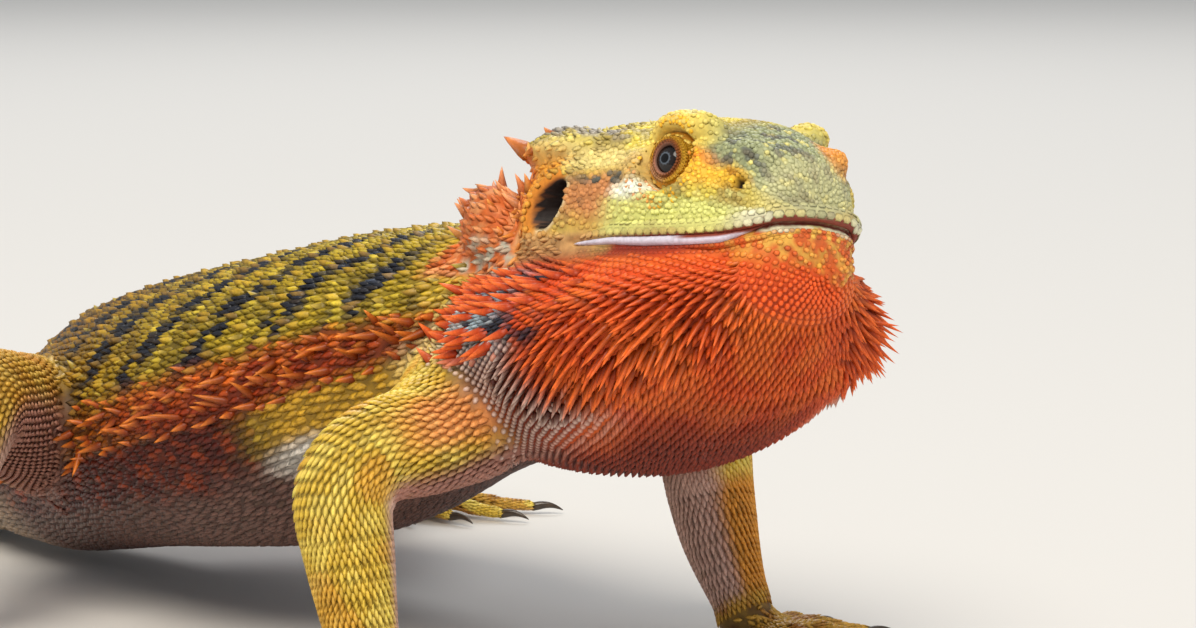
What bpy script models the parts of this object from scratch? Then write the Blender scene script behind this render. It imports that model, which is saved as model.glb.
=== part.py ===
"""Bearded dragon, adult, standing with its forebody and head raised and its throat puffed out.

Row frame: metres, +X from tail to head, +Y to the animal's left, +Z up, floor at Z = 0.
The origin is on the floor under the middle of the animal's outline. While it is being modelled
the origin is under the vent, and the last step moves it.

The body is modelled whole: lofts through a few sections, joined by a voxel Remesh, smoothed and
thinned. It is then parted with thin cuts into the nodes that a person would name.
Sizes below are in millimetres, and turned to metres where a mesh is made.
"""

import math

import bmesh
import bpy
import numpy as np
from mathutils import Matrix, Vector

MM = 0.001
GAP = 0.3                 # between neighbouring solids
TAIL_LENGTH = 285.0
TAIL_CUTS = (0.35, 3.0, 6.0, 9.2)   # where the tail begins and is divided, in its sections
NECK_ROOT = 8.0                     # where the neck begins, in the trunk's sections
BODY_VOXEL = 1.1
FOOT_VOXEL = 0.6
BODY_TRIANGLES = 2050
HEAD_TRIANGLES = 1180
FOOT_TRIANGLES = 280
FLANK_SPINES = 13
SPIKE_ROOT = 1.5          # how deep a spike's foot is sunk

# The head's own frame: origin midway between the eyes, x forward, y left, z up.
HEAD_AT = (171.0, -3.0, 81.0)
HEAD_TURN = -14.0         # degrees about Z: the head looks to the animal's right
HEAD_LIFT = 8.0           # nose up
HEAD_TILT = -8.0          # the left side of the skull hangs lower
BEARD_TILT = -1.0         # the beard hangs almost level

EYE_AT = (0.0, 9.1, 0.0)
EYE_RADIUS = 4.3
EAR_AT = (-18.8, 20.0, -5.5)
EAR_OUT = (-0.05, 1.0, 0.05)
EAR_RADII = (2.4, 3.8)
EAR_DEPTH = 6.0
NOSTRIL_AT = (14.0, 8.0, -4.0)
MOUTH_CORNER = (-14.0, -11.3)       # x and z of the cut between the lips, at its back
MOUTH_FRONT = (24.0, -8.6)          # and at its front
JAW_BOTTOM = (-15.6, -20.5)         # z under the chin, and under the corner of the jaw

# Sections: centre x, y, z, half width, height above the centre, depth below it.
TRUNK = [
    (-12, 0, 15, 15, 13.5, 13.8),
    (2, 0, 19, 18, 18.5, 17.8),
    (16, 0, 22, 22, 23.5, 18.5),
    (32, 0, 26, 28.5, 25.5, 19.5),
    (52, 0, 32, 34, 25, 22.5),
    (76, 0, 39, 36, 23.5, 25),
    (98, 0, 46, 33, 21.5, 21.5),
    (116, 0, 53, 27, 17.5, 21),
    (127, 2, 60, 21, 13.5, 19.5),
    (136, 5, 67, 18, 10.5, 16),
    (146, 3, 71, 15, 7, 14),
]
HEAD = [
    (-40, 0, -11, 14.0, 7.0, 14),
    (-34, 0, -9.5, 18.0, 11.0, 17),
    (-26, 0, -8, 21.2, 15.8, 18),
    (-16, 0, -8, 20.3, 16.4, 16),
    (-7, 0, -8, 17.9, 16.4, 14),
    (0, 0, -8, 15.6, 15.9, 12.5),
    (6, 0, -8, 13.4, 15.0, 11),
    (12, 0, -8.5, 11.2, 13.2, 9.5),
    (17, 0, -9, 9.2, 11.0, 7.5),
    (20.4, 0, -9.2, 6.4, 7.6, 5.2),
    (21.8, 0, -9.0, 1.4, 1.6, 1.4),
]
BEARD = [
    (20.2, -0.5, -14.6, 1.4, 1.2, 1.2),
    (18.4, -1, -15.2, 8, 5.6, 5.2),
    (12, -2, -17.5, 14.5, 9, 9.5),
    (3, -3, -19.5, 23, 12, 14.5),
    (-9, -3, -22, 28, 15, 17.8),
    (-20, -3, -23.5, 29.5, 17, 19.6),
    (-32, -3, -24.5, 29, 17, 18.6),
    (-43, -2.5, -24.5, 23, 15, 16),
    (-50, -2, -23.5, 14, 9, 10),
]
# Each limb: the centre of its sections, half width and half depth, from inside the body to the wrist.
ARM_RIGHT = [(128, -12, 48, 12, 12), (134, -22, 44.5, 10.5, 11.5), (137, -33, 42, 8.3, 9.2),
             (137, -43, 40.5, 7.3, 7.6), (137, -48, 35.5, 7.2, 7.4), (139, -48.5, 26, 6.3, 6.7),
             (142, -48.5, 14, 4.9, 5.4), (144.5, -49, 6.5, 4.6, 4.6)]
ARM_LEFT = [(126, 11, 50, 12, 12), (128, 22, 46, 10.5, 11), (126, 31, 39.5, 8.5, 9.2),
            (124, 36.5, 32.5, 7.6, 7.8), (124.5, 37.5, 25, 7.2, 7.3), (128, 36.5, 17, 6.2, 6.6),
            (131.5, 36.3, 10, 5.0, 5.4), (134, 36.5, 6, 4.6, 4.6)]
LEG_RIGHT = [(20, -8, 26, 14, 13), (27, -23, 29, 12, 12.5), (36, -37, 34, 10.4, 10.8),
             (45, -49, 38, 8.6, 8.6), (48, -55, 33, 7.8, 8.2), (46, -57.5, 23, 7.0, 7.4),
             (41.5, -59, 12, 5.2, 5.6), (39, -60, 7, 4.8, 4.8)]
LEG_LEFT = [(18, 8, 26, 14, 13), (20, 23, 28, 12, 12.5), (24, 38, 31, 10.2, 10.6),
            (28, 51, 33, 8.6, 8.6), (25, 57, 28, 7.8, 8.0), (15, 60, 20.5, 7.0, 7.2),
            (6.5, 62, 13, 5.4, 5.8), (3.5, 63, 6.5, 4.8, 4.8)]
# Each digit: angle from the foot's own direction in degrees, length, radius at its root.
HAND_DIGITS = [(-64, 9, 1.8), (-30, 13.5, 1.9), (0, 16, 1.9), (27, 15, 1.9), (60, 10.5, 1.75)]
FOOT_DIGITS = [(-48, 9, 1.9), (-24, 14, 2.0), (-4, 19.5, 2.0), (16, 25, 2.0), (62, 13, 1.8)]
LIMBS = {
    "arm_right": (ARM_RIGHT, ("upper_arm_right", "forearm_right", "hand_right"), 1.75, 4.1, 6.35),
    "arm_left": (ARM_LEFT, ("upper_arm_left", "forearm_left", "hand_left"), 1.75, 3.6, 6.35),
    "leg_right": (LEG_RIGHT, ("thigh_right", "shin_right", "foot_right"), 1.95, 4.55, 6.35),
    "leg_left": (LEG_LEFT, ("thigh_left", "shin_left", "foot_left"), 1.9, 4.3, 6.15),
}
# Each foot: its heading in degrees, the length of its palm or sole, its digits, and its outer side.
FEET = {
    "hand_right": (-24, 8.5, HAND_DIGITS, -1),
    "hand_left": (30, 8.5, HAND_DIGITS, 1),
    "foot_right": (-26, 13.0, FOOT_DIGITS, -1),
    "foot_left": (30, 13.0, FOOT_DIGITS, 1),
}
# Along a digit, as shares of its length: where, how high its middle is, and how thick it is there.
DIGIT_ARCH = [(-0.25, 2.4, 1.0), (0.1, 3.0, 1.0), (0.4, 3.3, 0.95), (0.7, 2.2, 0.86), (1.0, 1.5, 0.72)]
CLAW_LENGTH = 4.2
CLAW_RADIUS = 0.75

# Colours of the nodes' own materials, and their roughness.
YELLOW, OLIVE, ORANGE = (0.52, 0.40, 0.09), (0.34, 0.29, 0.07), (0.58, 0.12, 0.03)
HORN, EYE_DARK = (0.03, 0.022, 0.018), (0.02, 0.015, 0.012)


def head_matrix(tilt_angle):
    turn = Matrix.Rotation(math.radians(HEAD_TURN), 4, "Z")
    lift = Matrix.Rotation(math.radians(-HEAD_LIFT), 4, "Y")
    tilt = Matrix.Rotation(math.radians(tilt_angle), 4, "X")
    return Matrix.Translation(Vector(HEAD_AT)) @ turn @ lift @ tilt


def through(sections, u):
    """The section at each u, on a Catmull-Rom curve that passes the listed sections at whole numbers."""
    rows = np.array(sections, float)
    rows = np.vstack([2 * rows[0] - rows[1], rows, 2 * rows[-1] - rows[-2]])
    i = np.clip(np.floor(u).astype(int), 0, len(sections) - 2)
    t = (u - i)[:, None]
    a, b, c, d = rows[i], rows[i + 1], rows[i + 2], rows[i + 3]
    square, cube = 2 * a - 5 * b + 4 * c - d, 3 * b - a - 3 * c + d
    return 0.5 * (2 * b + (c - a) * t + square * t**2 + cube * t**3)


def direction_at(sections, u):
    """The centre of the section at u, and the unit direction in which the loft runs there."""
    near, far = through(sections, np.array([u - 0.02, u + 0.02]))[:, :3]
    return Vector(((near + far) / 2).tolist()), Vector((far - near).tolist()).normalized()


def surface(sections, u, angle, pinch=0.0, square=1.0):
    """Points of a loft. u runs along it and angle round it, from its left side over its back.
    pinch narrows the upper half towards its top, and square under 1 fills the corners out."""
    s = through(sections, u)
    if s.shape[1] == 5:
        s = np.hstack([s, s[:, 4:5]])
    ahead = through(sections, u + 0.01)[:, :3] - through(sections, u - 0.01)[:, :3]
    ahead /= np.linalg.norm(ahead, axis=1)[:, None]
    side = np.cross([0.0, 0.0, 1.0], ahead)
    flat = np.linalg.norm(side, axis=1)[:, None]
    across = np.array([0.0, 1.0, 0.0]) - ahead * ahead[:, 1:2]
    left = np.where(flat > 0.35, side / np.maximum(flat, 1e-6), across)
    left /= np.linalg.norm(left, axis=1)[:, None]
    up = np.cross(ahead, left)
    c, z = np.cos(angle), np.sin(angle)
    c = np.sign(c) * np.abs(c) ** square * (1 - pinch * np.clip(z, 0, 1) ** 1.5)
    z = np.sign(z) * np.abs(z) ** square
    height = np.where(z > 0, s[:, 4], s[:, 5]) * z
    return s[:, :3] + left * (s[:, 3] * c)[:, None] + up * height[:, None]


def tail_sections():
    """The tail lies on the floor in one long bend to the left, and tapers to a thin tip."""
    rows = []
    for i in range(14):
        t = i / 13
        bend = math.radians(40) * t**1.5
        along = TAIL_LENGTH * t
        radius = 12.6 * (1 - t) ** 0.9 + 1.5
        centre = radius * 0.93 + 3.2 * (1 - t) ** 8
        rows.append((-12 - along * math.cos(bend * 0.6), along * math.sin(bend * 0.6), centre,
                     radius * (1.07 - 0.07 * t), radius * 0.96, radius))
    return rows


def new_object(name, mesh, collection):
    obj = bpy.data.objects.new(name, mesh)
    collection.objects.link(obj)
    return obj


def loft(name, sections, sides=28, per=5, matrix=None, low=0.0, high=None, **shape):
    """A closed mesh object through the sections from low to high, with per rings between each two."""
    high = len(sections) - 1 if high is None else high
    count = max(2, round((high - low) * per) + 1)
    u = np.linspace(low, high, count)
    angle = np.arange(sides) * 2 * math.pi / sides
    points = surface(sections, np.repeat(u, sides), np.tile(angle, count), **shape)
    ring = np.arange(sides)
    row = (np.arange(count - 1) * sides)[:, None]
    near, side = row + ring, row + np.roll(ring, -1)
    faces = np.stack([near, near + sides, side + sides, side], axis=2).reshape(-1, 4).tolist()
    faces += [ring.tolist(), (ring + (count - 1) * sides)[::-1].tolist()]
    mesh = bpy.data.meshes.new(name)
    mesh.from_pydata(points.tolist(), [], faces)
    mesh.transform(Matrix.Scale(MM, 4) @ (matrix or Matrix()))
    tidy(mesh)
    return new_object(name, mesh, WORK)


def tidy(mesh):
    """Turns the faces outwards."""
    bm = bmesh.new()
    bm.from_mesh(mesh)
    bmesh.ops.recalc_face_normals(bm, faces=bm.faces)
    bm.to_mesh(mesh)
    bm.free()


def blob(name, at, radii, matrix=None, turn=(0, 0, 0)):
    """An ellipsoid: the clay from which brows, cheeks and muscles are added."""
    bpy.ops.mesh.primitive_uv_sphere_add(segments=24, ring_count=12, radius=1)
    obj = bpy.context.object
    obj.name = name
    turned = Matrix.Identity(4)
    for angle, axis in zip(turn, "XYZ"):
        turned = Matrix.Rotation(math.radians(angle), 4, axis) @ turned
    place = (matrix or Matrix()) @ Matrix.Translation(Vector(at)) @ turned
    obj.data.transform(Matrix.Scale(MM, 4) @ place @ Matrix.Diagonal((*radii, 1)))
    return obj


def cylinder(name, at, along, radii, length, matrix=None, sides=16):
    """A capped elliptical cylinder centred on at, its length along a direction."""
    bpy.ops.mesh.primitive_cylinder_add(vertices=sides, radius=1, depth=1)
    obj = bpy.context.object
    obj.name = name
    place = (matrix or Matrix()) @ Matrix.Translation(Vector(at)) \
        @ Vector(along).to_track_quat("Z", "Y").to_matrix().to_4x4()
    obj.data.transform(Matrix.Scale(MM, 4) @ place @ Matrix.Diagonal((*radii, length, 1)))
    return obj


def joined(name, objects):
    """One object that holds all the objects' shells."""
    bm = bmesh.new()
    for obj in objects:
        bm.from_mesh(obj.data)
        bpy.data.objects.remove(obj)
    mesh = bpy.data.meshes.new(name)
    bm.to_mesh(mesh)
    bm.free()
    return new_object(name, mesh, WORK)


def baked(obj):
    """Replaces the object's mesh by what its modifiers make of it."""
    graph = bpy.context.evaluated_depsgraph_get()
    mesh = bpy.data.meshes.new_from_object(obj.evaluated_get(graph))
    obj.modifiers.clear()
    obj.data = mesh
    return obj


def fused(obj, voxel, rounds, triangles):
    """Joins overlapping shells into one smooth closed skin of about that many triangles."""
    remesh = obj.modifiers.new("Remesh", "REMESH")
    remesh.mode = "VOXEL"
    remesh.voxel_size = voxel * MM
    smooth = obj.modifiers.new("Smooth", "SMOOTH")
    smooth.factor = 0.5
    smooth.iterations = rounds
    baked(obj)
    obj.data.calc_loop_triangles()
    thin = obj.modifiers.new("Decimate", "DECIMATE")
    thin.ratio = triangles / len(obj.data.loop_triangles)
    return baked(obj)


def boolean(obj, other, operation, crossing=False):
    """Cuts or joins obj with other, and removes other. crossing is for shells that cross each other."""
    modifier = obj.modifiers.new("Boolean", "BOOLEAN")
    modifier.operation = operation
    modifier.object = other
    modifier.solver = "EXACT"
    modifier.use_self = crossing
    baked(obj)
    bpy.data.objects.remove(other)
    return obj


def pieces(obj):
    """The object's loose shells as new objects, largest first. The object itself is removed."""
    bm = bmesh.new()
    bm.from_mesh(obj.data)
    group = {}
    for start in bm.verts:
        if start.index in group:
            continue
        reached, queue = len(set(group.values())), [start]
        group[start.index] = reached
        while queue:
            for edge in queue.pop().link_edges:
                for vert in edge.verts:
                    if vert.index not in group:
                        group[vert.index] = reached
                        queue.append(vert)
    found = []
    for number in sorted(set(group.values())):
        part = bm.copy()
        part.verts.ensure_lookup_table()
        away = [part.verts[i] for i, g in group.items() if g != number]
        bmesh.ops.delete(part, geom=away, context="VERTS")
        mesh = bpy.data.meshes.new("piece")
        part.to_mesh(mesh)
        volume = part.calc_volume(signed=True)
        part.free()
        found.append((volume, mesh))
    bm.free()
    bpy.data.objects.remove(obj)
    found.sort(key=lambda item: -item[0])
    return [new_object("piece", mesh, WORK) for volume, mesh in found if volume > (2 * MM) ** 3]


def sliced(obj, at, along, radii):
    """Cuts a slot as thin as the gap across the object, and gives what lies on each side of it:
    first what is behind, then what is ahead."""
    boolean(obj, cylinder("slot", at, along, radii, GAP, sides=24), "DIFFERENCE")
    parts = pieces(obj)
    if len(parts) != 2:
        raise RuntimeError(f"a cut at {tuple(at)} left {len(parts)} pieces")
    parts.sort(key=lambda p: sum((v.co / MM - at).dot(along) for v in p.data.vertices) / len(p.data.vertices))
    return parts


def half(obj, at, towards):
    """Keeps the side of the plane that towards points to, and caps the cut."""
    bm = bmesh.new()
    bm.from_mesh(obj.data)
    geometry = bm.verts[:] + bm.edges[:] + bm.faces[:]
    bmesh.ops.bisect_plane(bm, geom=geometry, dist=1e-7, plane_co=Vector(at) * MM,
                           plane_no=Vector(towards), clear_inner=True)
    rim = [e for e in bm.edges if e.is_boundary]
    bmesh.ops.holes_fill(bm, edges=rim, sides=0)
    bmesh.ops.triangulate(bm, faces=[f for f in bm.faces if len(f.verts) > 4])
    bmesh.ops.recalc_face_normals(bm, faces=bm.faces)
    bm.to_mesh(obj.data)
    bm.free()
    return obj


def copy_of(obj, name="copy"):
    return new_object(name, obj.data.copy(), WORK)


def swollen(obj, by):
    """A copy of the object with its surface moved outwards."""
    copy = copy_of(obj, "swollen")
    grow = copy.modifiers.new("Displace", "DISPLACE")
    grow.strength = by * MM
    grow.mid_level = 0
    return baked(copy)


def block(low, high, matrix):
    """A box from its lowest and highest corners in that matrix's frame."""
    bpy.ops.mesh.primitive_cube_add(size=1)
    box = bpy.context.object
    size, middle = Vector(high) - Vector(low), (Vector(high) + Vector(low)) / 2
    place = matrix @ Matrix.Translation(middle)
    box.data.transform(Matrix.Scale(MM, 4) @ place @ Matrix.Diagonal((*size, 1)))
    return box


def finished(obj, name, colour, roughness=0.7):
    """Names the object, gives it its material and moves it to the parts."""
    material = bpy.data.materials.new(name + "_finish")
    material.use_nodes = True
    shader = material.node_tree.nodes["Principled BSDF"]
    shader.inputs["Base Color"].default_value = (*colour, 1)
    shader.inputs["Roughness"].default_value = roughness
    obj.name = name
    obj.data.name = name
    obj.data.materials.clear()
    obj.data.materials.append(material)
    WORK.objects.unlink(obj)
    PARTS.objects.link(obj)
    return obj


def on_head(x, y, z):
    return HEAD_FRAME @ Vector((x, y, z))


def spikes(rows, grown=0.0):
    """One object of slender cones. Each row is a foot point, a direction, a length and a radius.
    grown makes each cone fatter and longer all round by that much."""
    cones = []
    for foot, along, length, radius in rows:
        along = Vector(along).normalized()
        length, radius = length + 3 * grown, radius + grown
        bpy.ops.mesh.primitive_cone_add(vertices=4, radius1=radius * MM, radius2=0, depth=length * MM)
        cone = bpy.context.object
        turn = along.to_track_quat("Z", "Y").to_matrix().to_4x4()
        cone.data.transform(Matrix.Translation((Vector(foot) + along * length / 2) * MM) @ turn)
        cones.append(cone)
    return joined("spikes", cones)


def make_head_group():
    frame = HEAD_FRAME
    clay = [
        loft("skull", HEAD, matrix=frame, pinch=0.2, square=0.8),
        loft("throat", BEARD, matrix=BEARD_FRAME),
    ]
    for s in (-1, 1):
        clay += [
            blob("brow", (1.5, s * 9.6, 5.2), (7.0, 3.6, 3.0), frame, (0, 8, s * -14)),
            blob("canthus", (12.2, s * 7.2, 0.9), (7.0, 2.5, 2.7), frame, (0, 0, s * -15)),
            blob("nostril", (NOSTRIL_AT[0] - 0.5, s * 6.6, NOSTRIL_AT[2] + 0.6), (3.0, 2.2, 2.2), frame),
            blob("cheek", (-13, s * 14.5, -8.5), (12, 5.0, 4.5), frame, (0, 0, s * -12)),
            blob("temple", (-24, s * 14, 2.5), (10, 5.0, 4.5), frame, (0, 0, s * -8)),
            blob("jaw corner", (-34, s * 17, -13), (8, 5.0, 6.5), frame, (0, 0, s * 24)),
            blob("nape fold", (-38, s * 20, -7.5), (7.0, 4.4, 6.5), frame, (0, 0, s * 14)),
            blob("lip", (4, s * 12.6, -10), (12, 2.2, 2.6), frame, (0, 0, s * -19)),
        ]
    head = fused(joined("head", clay), 0.95, 4, HEAD_TRIANGLES)
    collar = swollen(head, GAP * 1.15)
    for s in (-1, 1):
        centre = on_head(EYE_AT[0], s * EYE_AT[1], EYE_AT[2])
        bpy.ops.mesh.primitive_uv_sphere_add(segments=14, ring_count=8, radius=(EYE_RADIUS + GAP) * MM)
        socket = bpy.context.object
        socket.data.transform(Matrix.Translation(centre * MM))
        boolean(head, socket, "DIFFERENCE")
        ear = on_head(EAR_AT[0], s * EAR_AT[1], EAR_AT[2])
        outward = frame.to_3x3() @ Vector((EAR_OUT[0], s * EAR_OUT[1], EAR_OUT[2]))
        boolean(head, cylinder("ear", ear, outward, EAR_RADII, EAR_DEPTH, sides=12), "DIFFERENCE")
    return head, collar


def part_head(head):
    """The beard hangs under a plane from the chin to the jaw's corner, and the jaw lies above it."""
    chin, corner = on_head(20, 0, JAW_BOTTOM[0]), on_head(-40, 0, JAW_BOTTOM[1])
    up = (chin - corner).cross(HEAD_FRAME.to_3x3() @ Vector((0, 1, 0))).normalized()
    beard = half(copy_of(head), chin - up * GAP / 2, -up)
    half(head, chin + up * GAP / 2, up)
    back, front = Vector((MOUTH_CORNER[0], 0, MOUTH_CORNER[1])), Vector((MOUTH_FRONT[0], 0, MOUTH_FRONT[1]))
    slope = Matrix.Rotation(-math.atan2(front.z - back.z, front.x - back.x), 4, "Y")
    lips = HEAD_FRAME @ Matrix.Translation(back) @ slope
    jaw = boolean(copy_of(head), block((GAP / 2, -60, -60), (60, 60, -GAP / 2), lips), "INTERSECT")
    boolean(head, block((-GAP / 2, -70, -70), (70, 70, GAP / 2), lips), "DIFFERENCE")
    return pieces(head)[0], pieces(jaw)[0], pieces(beard)[0]


def foot_and_normal(sections, u, angle, matrix=Matrix(), **shape):
    """A point on a loft's surface, and the direction straight out of it."""
    us, angles = np.array([u - 0.05, u + 0.05, u, u]), np.radians([angle, angle, angle - 3, angle + 3])
    before, after, low, high = [Vector(p.tolist()) for p in surface(sections, us, angles, **shape)]
    out = (after - before).cross(high - low).normalized()
    middle = (before + after) / 2
    centre = Vector(through(sections, np.array([u]))[0, :3].tolist())
    if out.dot(middle - centre) < 0:
        out = -out
    return matrix @ middle, matrix.to_3x3() @ out


def spike(sections, u, angle, lean, length, radius, matrix=Matrix(), **shape):
    """One spike on a loft's surface. lean is added to its outward direction, in the matrix's frame."""
    foot, out = foot_and_normal(sections, u, angle, matrix, **shape)
    return foot - out * SPIKE_ROOT, out + matrix.to_3x3() @ Vector(lean), length + SPIKE_ROOT, radius


def head_spikes():
    """The spines at the temples and in rows round the corners of the jaw."""
    rows = []
    for s in (-1, 1):
        turn = (lambda angle: angle) if s > 0 else (lambda angle: 180 - angle)
        for k in range(3):
            rows.append(spike(HEAD, 1.75 - 0.3 * k, turn(48 - 9 * k), (-1.2, 0, 0.5), 3.2, 1.2, HEAD_FRAME,
                              pinch=0.2, square=0.8))
        for k in range(7):
            t = k / 6
            at = on_head(-39 + 3.5 * t, s * (20.5 + 2.0 * math.sin(t * 3.0)), -2.5 - 15.0 * t)
            lean = HEAD_FRAME.to_3x3() @ Vector((-0.75, s * 0.9, 0.4 - 0.6 * t))
            rows.append((at - lean * SPIKE_ROOT, lean, 5.6 + SPIKE_ROOT, 1.5))
    return rows


def beard_spikes():
    """The brush of long scales on the front of the beard."""
    rows = []
    for s in (-1, 1):
        for k in range(7):
            angle = -20 - 17 * (k % 3)
            rows.append(spike(BEARD, 2.1 + 0.22 * k, angle if s > 0 else 180 - angle, (0.4, 0, -0.4), 2.4, 1.0,
                              BEARD_FRAME))
    return rows


def flank_spikes():
    """The fringe of long spines along each flank, in the trunk's widest line."""
    rows = []
    for s in (-1, 1):
        for k in range(FLANK_SPINES):
            u = 1.9 + 4.9 * k / (FLANK_SPINES - 1)
            angle = 6 - 8 * (k % 2)
            rows.append(spike(TRUNK, u, angle if s > 0 else 180 - angle, (-0.8, 0, 0.2), 4.4, 1.45, square=0.9))
    return rows


def make_torso(collar):
    """Trunk, neck, tail and the upper parts of the legs as one skin, trimmed round the head."""
    clay = [loft("trunk", TRUNK, square=0.9), loft("tail", TAIL, sides=20, per=3)]
    clay += [loft(name, limb[0], sides=20) for name, limb in LIMBS.items()]
    torso = fused(joined("torso", clay), BODY_VOXEL, 5, BODY_TRIANGLES)
    half(torso, (0, 0, 0), (0, 0, 1))
    boolean(torso, collar, "DIFFERENCE")
    return pieces(torso)[0]


def part_torso(torso):
    """Takes the legs, the neck and the lengths of the tail off the trunk, and divides each leg."""
    parts = {}
    for limb, (sections, names, root, knee, ankle) in LIMBS.items():
        rest = None
        for u, reach in ((root, 1.75), (knee, 1.7), (ankle, 2.1)):
            at, along = direction_at(sections, u)
            if rest is None:
                along = Vector((0, math.copysign(1, at.y), 0))
            radius = through(sections, np.array([u]))[0, 3:5].max() * reach
            behind, ahead = sliced(rest or torso, at, along, (radius, radius))
            if rest is None:
                torso = behind
            elif names[0] not in parts:
                parts[names[0]] = behind
            else:
                parts[names[1]] = behind
            rest = ahead
        bpy.data.objects.remove(rest)
    at, along = direction_at(TRUNK, NECK_ROOT)
    torso, parts["neck"] = sliced(torso, at, along, (60, 60))
    for k, (u, name) in enumerate(zip(TAIL_CUTS, ("tail_1", "tail_2", "tail_3", "tail_4"))):
        at, along = direction_at(TAIL, u)
        width = through(TAIL, np.array([u]))[0, 3]
        before, after = sliced(torso if k == 0 else parts[last], at, along, (width * 1.8, width * 1.8))
        if k == 0:
            torso = before
        else:
            parts[last] = before
        parts[name], last = after, name
    parts["trunk"] = torso
    return parts


def make_foot(name, sections, ankle):
    """A palm or sole with five digits, flat underneath, cut off where the leg begins."""
    heading, palm, digits, outer = FEET[name]
    end = Vector(sections[-1][:3])
    turn = math.radians(heading)
    ahead = Vector((math.cos(turn), math.sin(turn), 0))
    side = Vector((-ahead.y, ahead.x, 0)) * outer
    middle, front = end + ahead * palm * 0.45, end + ahead * palm * 0.85
    clay = [loft("stub", sections, sides=20, low=ankle - 0.6),
            blob("wrist", end + Vector((0, 0, -1.6)), (5.2, 5.0, 4.2))]
    clay.append(blob("palm", (middle.x, middle.y, 2.6), (palm * 0.62, 5.4, 3.1), turn=(0, 0, heading)))
    tips = []
    for number, (spread, length, radius) in enumerate(digits):
        angle = turn + math.radians(spread) * outer
        out = Vector((math.cos(angle), math.sin(angle), 0))
        root = front + side * (spread / 62 * 3.4) - ahead * abs(spread) / 62 * palm * 0.42
        rows = []
        for t, lift, thick in DIGIT_ARCH:
            at = root + out * length * t
            rows.append((at.x, at.y, lift, radius * thick, radius * thick))
        clay.append(loft(f"digit {number}", rows, sides=12, per=3))
        tips.append((root + out * length, out))
    foot = fused(joined(name, clay), FOOT_VOXEL, 3, FOOT_TRIANGLES)
    half(foot, (0, 0, 0), (0, 0, 1))
    at, along = direction_at(sections, ankle)
    radius = 2.1 * through(sections, np.array([ankle]))[0, 3:5].max()
    cut = sliced(foot, at, along, (radius, radius))
    cut.sort(key=lambda piece: min(v.co.z for v in piece.data.vertices))
    bpy.data.objects.remove(cut[1])
    return cut[0], tips


def make_claw(name, tip, out):
    """A curved cone: three short rings and a point, low at the tip."""
    rows = []
    for k in range(4):
        t = k / 3
        drop = 0.9 * t * t
        radius = CLAW_RADIUS * (1 - t) ** 0.8 + 0.16
        at = Vector((tip.x, tip.y, 0)) + out * (0.55 + CLAW_LENGTH * t)
        rows.append((at.x, at.y, 1.75 + 0.25 * math.sin(t * 3) - drop, radius * 0.8, radius))
    claw = loft(name, rows, sides=5, per=1)
    return finished(claw, name, HORN, 0.35)


def main():
    head, collar = make_head_group()
    torso = make_torso(collar)
    head, jaw, beard = part_head(head)
    parts = part_torso(torso)
    for name in ("neck", "trunk"):
        parts[name] = pieces(boolean(parts[name], spikes(head_spikes(), GAP), "DIFFERENCE", True))[0]
    parts["head"] = boolean(head, spikes(head_spikes()), "UNION", True)
    parts["beard"] = boolean(beard, spikes(beard_spikes()), "UNION", True)
    parts["trunk"] = boolean(parts["trunk"], spikes(flank_spikes()), "UNION", True)
    parts["lower_jaw"] = jaw
    colours = {"beard": ORANGE, "trunk": OLIVE, "neck": OLIVE}
    for name, obj in parts.items():
        finished(obj, name, OLIVE if name.startswith("tail") else colours.get(name, YELLOW))
    for sections, names, root, knee, ankle in LIMBS.values():
        foot, tips = make_foot(names[2], sections, ankle)
        finished(foot, names[2], YELLOW)
        for number, (tip, out) in enumerate(tips, 1):
            make_claw(f"claw_{names[2]}_{number}", tip, out)
    for s, side in ((-1, "right"), (1, "left")):
        bpy.ops.mesh.primitive_uv_sphere_add(segments=14, ring_count=8, radius=EYE_RADIUS * MM)
        eye = bpy.context.object
        eye.data.transform(Matrix.Translation(on_head(EYE_AT[0], s * EYE_AT[1], EYE_AT[2]) * MM))
        for owner in eye.users_collection:
            owner.objects.unlink(eye)
        WORK.objects.link(eye)
        finished(eye, f"eye_{side}", EYE_DARK, 0.1)


def centre_on_floor():
    """Moves every part so that the origin is under the middle of their common box."""
    corners = np.array([v.co for obj in PARTS.objects for v in obj.data.vertices])
    low, high = corners.min(axis=0), corners.max(axis=0)
    shift = Matrix.Translation((-(low[0] + high[0]) / 2, -(low[1] + high[1]) / 2, -low[2]))
    for obj in PARTS.objects:
        obj.data.transform(shift)


for old in list(bpy.data.objects):
    bpy.data.objects.remove(old)
PARTS = bpy.data.collections.new("bearded_dragon")
WORK = bpy.data.collections.new("work")
bpy.context.scene.collection.children.link(PARTS)
bpy.context.scene.collection.children.link(WORK)
HEAD_FRAME = head_matrix(HEAD_TILT)
BEARD_FRAME = head_matrix(BEARD_TILT)
TAIL = tail_sections()
main()
centre_on_floor()
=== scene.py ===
# Bearded dragon, life size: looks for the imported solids.
# Sizes are in millimetres in the animal's own frame: x forwards, y to its left, z up, floor at z = 0.
import math

import bmesh
import bpy
import numpy as np
from mathutils import Matrix, Vector
from mathutils.bvhtree import BVHTree
from mathutils.kdtree import KDTree


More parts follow.
